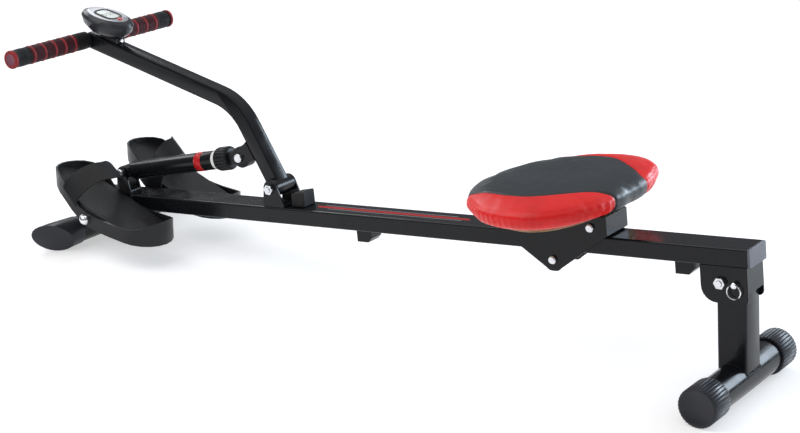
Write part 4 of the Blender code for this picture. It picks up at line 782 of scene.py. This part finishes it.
class ROWER_OT_monitor(bpy.types.Operator):
    """Monitor with its bezel, window, figures and button"""
    bl_idname = "rower.monitor"
    bl_label = "Monitor"
    bl_options = {"REGISTER", "UNDO"}

    def execute(self, context):
        sizes = trim_sizes(context)
        rounded("console_base", "monitor_case", 0.0, 50.0)
        cover = rounded("console_cover", "monitor_case", 0.0, 28.0)
        cover.data.materials.append(FINISHES["silver"].material)
        face_up = Vector((math.sin(MONITOR_TILT), 0.0, math.cos(MONITOR_TILT)))
        for face in cover.data.polygons:
            face.material_index = 1 if face.normal.dot(face_up) > 0.98 else 0
        rounded("console_lens", "glass", 0.0)
        rounded("console_button", "red", 0.0)
        rounded("console_bracket", "plastic", sizes.edge)
        face = Matrix.Translation(middle("console_lens")) @ Matrix.Rotation(MONITOR_TILT, 4, "Y")
        made = piece("monitor_bezel", self.bezel(), ("plastic",), "arm", (), face,
                     smooth=False)
        ease = made.modifiers.new("Edges", "BEVEL")
        ease.width = 0.0003
        ease.segments = 2
        piece("monitor_figures", self.figures(), ("ink",), "arm", (), face, smooth=False)
        return {"FINISHED"}

    def bezel(self):
        """Flat frame round the display, a rounded oblong."""
        bm = bmesh.new()
        outer = bmesh.ops.create_circle(bm, cap_ends=True, segments=56, radius=1.0)["verts"]
        for vert in outer:
            x = math.copysign(abs(vert.co.x) ** 0.62, vert.co.x) * 0.0268
            y = math.copysign(abs(vert.co.y) ** 0.62, vert.co.y) * 0.0196
            vert.co = (x, y, 0.0)
        bmesh.ops.inset_region(bm, faces=bm.faces[:], use_boundary=True, use_even_offset=True,
                               thickness=0.0046)
        opening = max(bm.faces, key=lambda item: len(item.verts))
        bmesh.ops.delete(bm, geom=[opening], context="FACES")
        bmesh.ops.solidify(bm, geom=bm.faces[:], thickness=0.0011)
        bmesh.ops.transform(bm, matrix=Matrix.Translation((0, 0, 0.0022)), verts=bm.verts)
        return bm

    def figures(self):
        """A time of nought: three seven-bar figures, each without its middle bar, and a colon."""
        high = 0.0052
        bars = ((0.0, high, False), (high / 2, high / 2, True), (high / 2, -high / 2, True),
                (0.0, -high, False), (-high / 2, -high / 2, True), (-high / 2, high / 2, True))
        bm = bmesh.new()
        for place in (-0.0105, 0.0015, 0.0100):
            for across, up, upright in bars:
                shape = Matrix.Translation((-up, place + across, 0.0))
                shape = shape @ Matrix.Rotation(math.radians(0 if upright else 90), 4, "Z")
                shape = shape @ Matrix.Diagonal((0.0023, 0.00065, 1.0, 1.0))
                bmesh.ops.create_circle(bm, cap_ends=True, segments=6, radius=1.0, matrix=shape)
        for up in (-0.0022, 0.0022):
            shape = Matrix.Translation((up, -0.0045, 0.0)) @ Matrix.Diagonal((0.0007, 0.0007, 1.0, 1.0))
            bmesh.ops.create_circle(bm, cap_ends=True, segments=10, radius=1.0, matrix=shape)
        bmesh.ops.recalc_face_normals(bm, faces=bm.faces)
        bmesh.ops.solidify(bm, geom=bm.faces[:], thickness=0.00025)
        bmesh.ops.transform(bm, matrix=Matrix.Translation((0, 0, 0.00155)), verts=bm.verts)
        return bm


PAD_BASE, PAD_RIM, PAD_CROWN = 0.0483, 0.0725, 0.0865      # heights over the rail's top face


def share_of(value, whole):
    """Value as a share of a whole, kept from 0 to 1."""
    return max(0.0, min(1.0, value / whole))


def seat_plan(x_share, y_share, grow):
    """Point of the seat's outline for a unit direction: a rounded oval, wider to the rear."""
    x = math.copysign(abs(x_share) ** (2 / 2.13), x_share)
    y = math.copysign(abs(y_share) ** (2 / 2.13), y_share)
    return (0.1408 + grow) * x, (0.1886 * (1 + 0.156 * x) + grow) * y


# Points (along, to the side) of the line that parts the top panel from a side panel.
SEAM_LINE = ((-0.150, 0.086), (-0.125, 0.096), (-0.100, 0.106), (-0.075, 0.1145), (-0.050, 0.1215),
             (-0.020, 0.1300), (0.010, 0.1325), (0.030, 0.1280), (0.048, 0.1180), (0.070, 0.1000),
             (0.090, 0.0820), (0.114, 0.0630), (0.128, 0.0535), (0.150, 0.0490))


def seam_at(x):
    """Sideways place of the seam between the top and side panels, smoothed."""
    total = weight = 0.0
    for i in range(-4, 5):
        spot = min(max(x + i * 0.004, SEAM_LINE[0][0]), SEAM_LINE[-1][0])
        for (x0, y0), (x1, y1) in zip(SEAM_LINE, SEAM_LINE[1:]):
            if x0 <= spot <= x1:
                share = 5 - abs(i)
                total += share * (y0 + (y1 - y0) * (spot - x0) / (x1 - x0))
                weight += share
                break
    return total / weight


class ROWER_OT_seat(bpy.types.Operator):
    """Padded seat: foam swollen under a two-tone vinyl cover, with its seams and puckers"""
    bl_idname = "rower.seat"
    bl_label = "Seat"
    bl_options = {"REGISTER", "UNDO"}

    def execute(self, context):
        sizes = trim_sizes(context)
        pad = added("seat_pad", self.blank(sizes.pad_swell * 0.25))
        self.apply(pad, "REMESH", mode="VOXEL", voxel_size=0.0050)
        self.swell(pad, sizes.pad_swell)
        self.apply(pad, "SMOOTH", factor=0.5, iterations=4)
        self.apply(pad, "SUBSURF", levels=1, render_levels=1)
        self.sew(pad, sizes)
        pad.data.transform(SEAT_FRAME)
        pad.data.shade_smooth()
        pad.data.materials.append(FINISHES["vinyl"].material)
        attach(pad, "seat")
        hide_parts("seat_cushion")
        return {"FINISHED"}

    def blank(self, slack):
        """The pad before it swells, made of (growth of the outline, height) rings."""
        base, rim, crown = PAD_BASE, PAD_RIM, PAD_CROWN
        stations = ((-0.034, base), (-0.018, base - 0.0010), (-0.008, base + 0.0010), (-0.001, base + 0.0070),
                    (0.0015, rim - 0.008), (0.002, rim), (-0.003, rim + 0.0050), (-0.012, rim + 0.0085),
                    (-0.030, crown - 0.0025), (-0.060, crown - 0.0006), (-0.095, crown))
        bm = bmesh.new()
        aim = bm.verts.layers.float_vector.new("aim")
        ring = bmesh.ops.create_circle(bm, cap_ends=True, segments=128, radius=1.0)["verts"]
        for vert in ring:
            vert[aim] = vert.co
        edges = bm.edges[:]
        for i, (grow, height) in enumerate(stations):
            if i:
                ring, edges = grow_ring(bm, edges)
            for vert in ring:
                vert.co = (*seat_plan(vert[aim].x, vert[aim].y, grow - slack), height)
        bmesh.ops.holes_fill(bm, edges=edges, sides=0)
        bmesh.ops.recalc_face_normals(bm, faces=bm.faces)
        bm.verts.layers.float_vector.remove(aim)
        return meshed("seat_pad", bm)

    def apply(self, pad, kind, **settings):
        """Runs one modifier on the pad and keeps its result."""
        worked = pad.modifiers.new(kind, kind)
        for key, value in settings.items():
            setattr(worked, key, value)
        self.bake(pad)

    def bake(self, pad):
        """Keeps the pad as its modifiers leave it."""
        graph = bpy.context.evaluated_depsgraph_get()
        graph.update()
        mesh = bpy.data.meshes.new_from_object(pad.evaluated_get(graph))
        pad.modifiers.clear()
        pad.data = mesh

    def swell(self, pad, most):
        """Blows the pad up as cloth over foam, and caps how far each point goes."""
        before = [vert.co.copy() for vert in pad.data.vertices]
        cloth = pad.modifiers.new("Cover", "CLOTH")
        cloth.settings.quality = 4
        cloth.settings.use_pressure = True
        cloth.settings.uniform_pressure_force = 4.0
        cloth.settings.effector_weights.gravity = 0.0
        cloth.point_cache.frame_start = 1
        cloth.point_cache.frame_end = 20
        for number in range(1, 21):
            bpy.context.scene.frame_set(number)
        self.bake(pad)
        bpy.context.scene.frame_set(1)
        for vert, start in zip(pad.data.vertices, before):
            move = vert.co - start
            out = Vector((start.x, start.y, 0.0)).normalized()
            inward = min(0.0, move.dot(out))
            move -= out * inward * 0.85
            move.z *= 0.45
            if move.length > most:
                move *= most / move.length
            vert.co = start + move
            if start.z < PAD_BASE + 0.004:
                vert.co.z = start.z

    def sew(self, pad, sizes):
        """Draws in the seams and the puckers of the sides, and marks the panels and the seams' painted shade
        for the finish.
        """
        mesh = pad.data
        panel = mesh.attributes.new("panel_edge", "FLOAT", "POINT")
        # How near each point is to a seam; the vinyl paints shade in the seams from it.
        seam_shade_share = mesh.attributes.new("seam_shade_share", "FLOAT", "POINT")
        mesh.update()
        edges = []
        shares = []
        moved = []
        for vert in mesh.vertices:
            x, y, z = vert.co
            seam = seam_at(x)
            slope = (seam_at(x + 0.003) - seam_at(x - 0.003)) / 0.006
            edge = (abs(y) - seam) / math.sqrt(1 + slope * slope)
            welt = (z - (PAD_RIM + 0.0035)) / 0.8
            near = math.exp(-(edge / 0.0022) ** 2)
            if edge > 0:
                near = max(near, 0.55 * math.exp(-(welt / 0.0016) ** 2) * min(1.0, edge / 0.012))
            wave = noise.noise(Vector((x * 28, y * 28, 3.0))) + 0.6
            around = math.atan2(y / 0.19, x / 0.14)
            side = share_of(PAD_RIM + 0.001 - z, 0.006) * share_of(z - PAD_BASE, 0.006)
            ripple = math.sin(around * 74 + 5 * noise.noise(Vector((x * 9, y * 9, z * 9)))) * max(0.0, wave)
            push = -near * sizes.seam_depth + ripple * side * sizes.pucker * (1.0 if edge > 0.004 else 0.15)
            moved.append(vert.co + vert.normal * push)
            edges.append(edge)
            shares.append(near)
        for vert, place in zip(mesh.vertices, moved):
            vert.co = place
        panel.data.foreach_set("value", edges)
        seam_shade_share.data.foreach_set("value", shares)


CAMERA_LENS = 81.24                      # mm, on a 36 mm sensor
CAMERA_PLACE = Vector((1.76294, -2.42887, 1.19951))
CAMERA_RIGHT = Vector((0.8139, 0.5810, 0.0))
CAMERA_BACK = Vector((0.5491, -0.7692, 0.3269))


class ROWER_OT_stage(bpy.types.Operator):
    """Floor, soft lights and camera"""
    bl_idname = "rower.stage"
    bl_label = "Stage"
    bl_options = {"REGISTER", "UNDO"}

    def execute(self, context):
        stage = context.scene.rower_stage
        scene = context.scene
        scene.view_settings.view_transform = "Standard"

        ground = Finish("studio_floor", tuple(stage.floor), 0.85, specular=0.2)
        ground.roughen(0.8, 0.95, 3.0)
        ground.put("Emission Color", (1.0, 1.0, 1.0, 1.0))
        ground.put("Emission Strength", 0.50)
        bm = bmesh.new()
        bmesh.ops.create_grid(bm, x_segments=8, y_segments=8, size=30.0)
        floor = added("floor", meshed("floor", bm))
        floor.data.materials.append(ground.material)

        world = bpy.data.worlds.new("soft_studio")
        world.use_nodes = True
        scene.world = world
        tree = world.node_tree
        where = tree.nodes.new("ShaderNodeTexCoord")
        split = tree.nodes.new("ShaderNodeSeparateXYZ")
        ramp = tree.nodes.new("ShaderNodeValToRGB")
        tree.links.new(where.outputs["Generated"], split.inputs["Vector"])
        tree.links.new(split.outputs["Z"], ramp.inputs["Fac"])
        tree.links.new(ramp.outputs["Color"], tree.nodes["Background"].inputs["Color"])
        stops = ramp.color_ramp.elements
        stops[0].position = 0.10
        stops[0].color = (0.20, 0.205, 0.22, 1.0)
        stops[1].position = 0.75
        stops[1].color = (1.0, 1.0, 1.0, 1.0)
        later = ramp.color_ramp.elements.new(0.42)
        later.color = (0.36, 0.37, 0.39, 1.0)
        tree.nodes["Background"].inputs["Strength"].default_value = 0.72

        for name, power, size_x, size_y, place, target, shade in (
                ("key_softbox", stage.key, 2.6, 1.6, (-0.9, -1.2, 2.3), (0.0, 0.0, 0.15), (1.0, 0.99, 0.97)),
                ("rim_softbox", stage.rim, 2.0, 0.9, (1.35, 2.15, 0.85), (0.2, 0.0, 0.15), (0.74, 0.87, 1.0)),
                ("fill_softbox", stage.rim * 0.25, 1.8, 0.7, (-2.2, 0.7, 1.4), (-0.3, 0.0, 0.2),
                 (0.95, 0.97, 1.0))):
            light = bpy.data.lights.new(name, "AREA")
            light.shape = "RECTANGLE"
            light.energy = power
            light.size = size_x
            light.size_y = size_y
            light.color = shade
            lamp = added(name, light)
            lamp.location = place
            lamp.rotation_euler = (Vector(target) - Vector(place)).to_track_quat("-Z", "Y").to_euler()

        lens = bpy.data.cameras.new("view")
        lens.sensor_width = 36.0
        lens.lens = CAMERA_LENS
        lens.clip_start = 0.05
        lens.clip_end = 100.0
        camera = added("view", lens)
        right = CAMERA_RIGHT.normalized()
        back = CAMERA_BACK.normalized()
        up = back.cross(right)
        turn = Matrix((right, up, back)).transposed().to_4x4()
        camera.matrix_world = Matrix.Translation(CAMERA_PLACE) @ turn
        scene.camera = camera
        return {"FINISHED"}


STEPS = (ROWER_OT_steelwork, ROWER_OT_welds, ROWER_OT_mouldings, ROWER_OT_fasteners, ROWER_OT_rear_caps,
         ROWER_OT_damper, ROWER_OT_grips, ROWER_OT_monitor, ROWER_OT_seat, ROWER_OT_stage)


class ROWER_PT_panel(bpy.types.Panel):
    """Sidebar panel of the machine's steps and settings"""
    bl_idname = "ROWER_PT_panel"
    bl_label = "Rowing Machine"
    bl_space_type = "VIEW_3D"
    bl_region_type = "UI"
    bl_category = "Rower"

    def draw(self, context):
        for group in (context.scene.rower_colours, context.scene.rower_sizes, context.scene.rower_stage):
            box = self.layout.box()
            for key in group.__annotations__:
                box.prop(group, key)
        for step in STEPS:
            self.layout.operator(step.bl_idname)


CLASSES = (RowerColours, RowerSizes, RowerStage, *STEPS, ROWER_PT_panel)


def register():
    for item in CLASSES:
        bpy.utils.register_class(item)
    bpy.types.Scene.rower_colours = PointerProperty(type=RowerColours)
    bpy.types.Scene.rower_sizes = PointerProperty(type=RowerSizes)
    bpy.types.Scene.rower_stage = PointerProperty(type=RowerStage)


def unregister():
    del bpy.types.Scene.rower_stage
    del bpy.types.Scene.rower_sizes
    del bpy.types.Scene.rower_colours
    for item in reversed(CLASSES):
        bpy.utils.unregister_class(item)


def main():
    """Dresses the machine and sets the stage."""
    register()
    for step in STEPS:
        group, name = step.bl_idname.split(".")
        getattr(getattr(bpy.ops, group), name)()


if __name__ == "__main__":
    main()
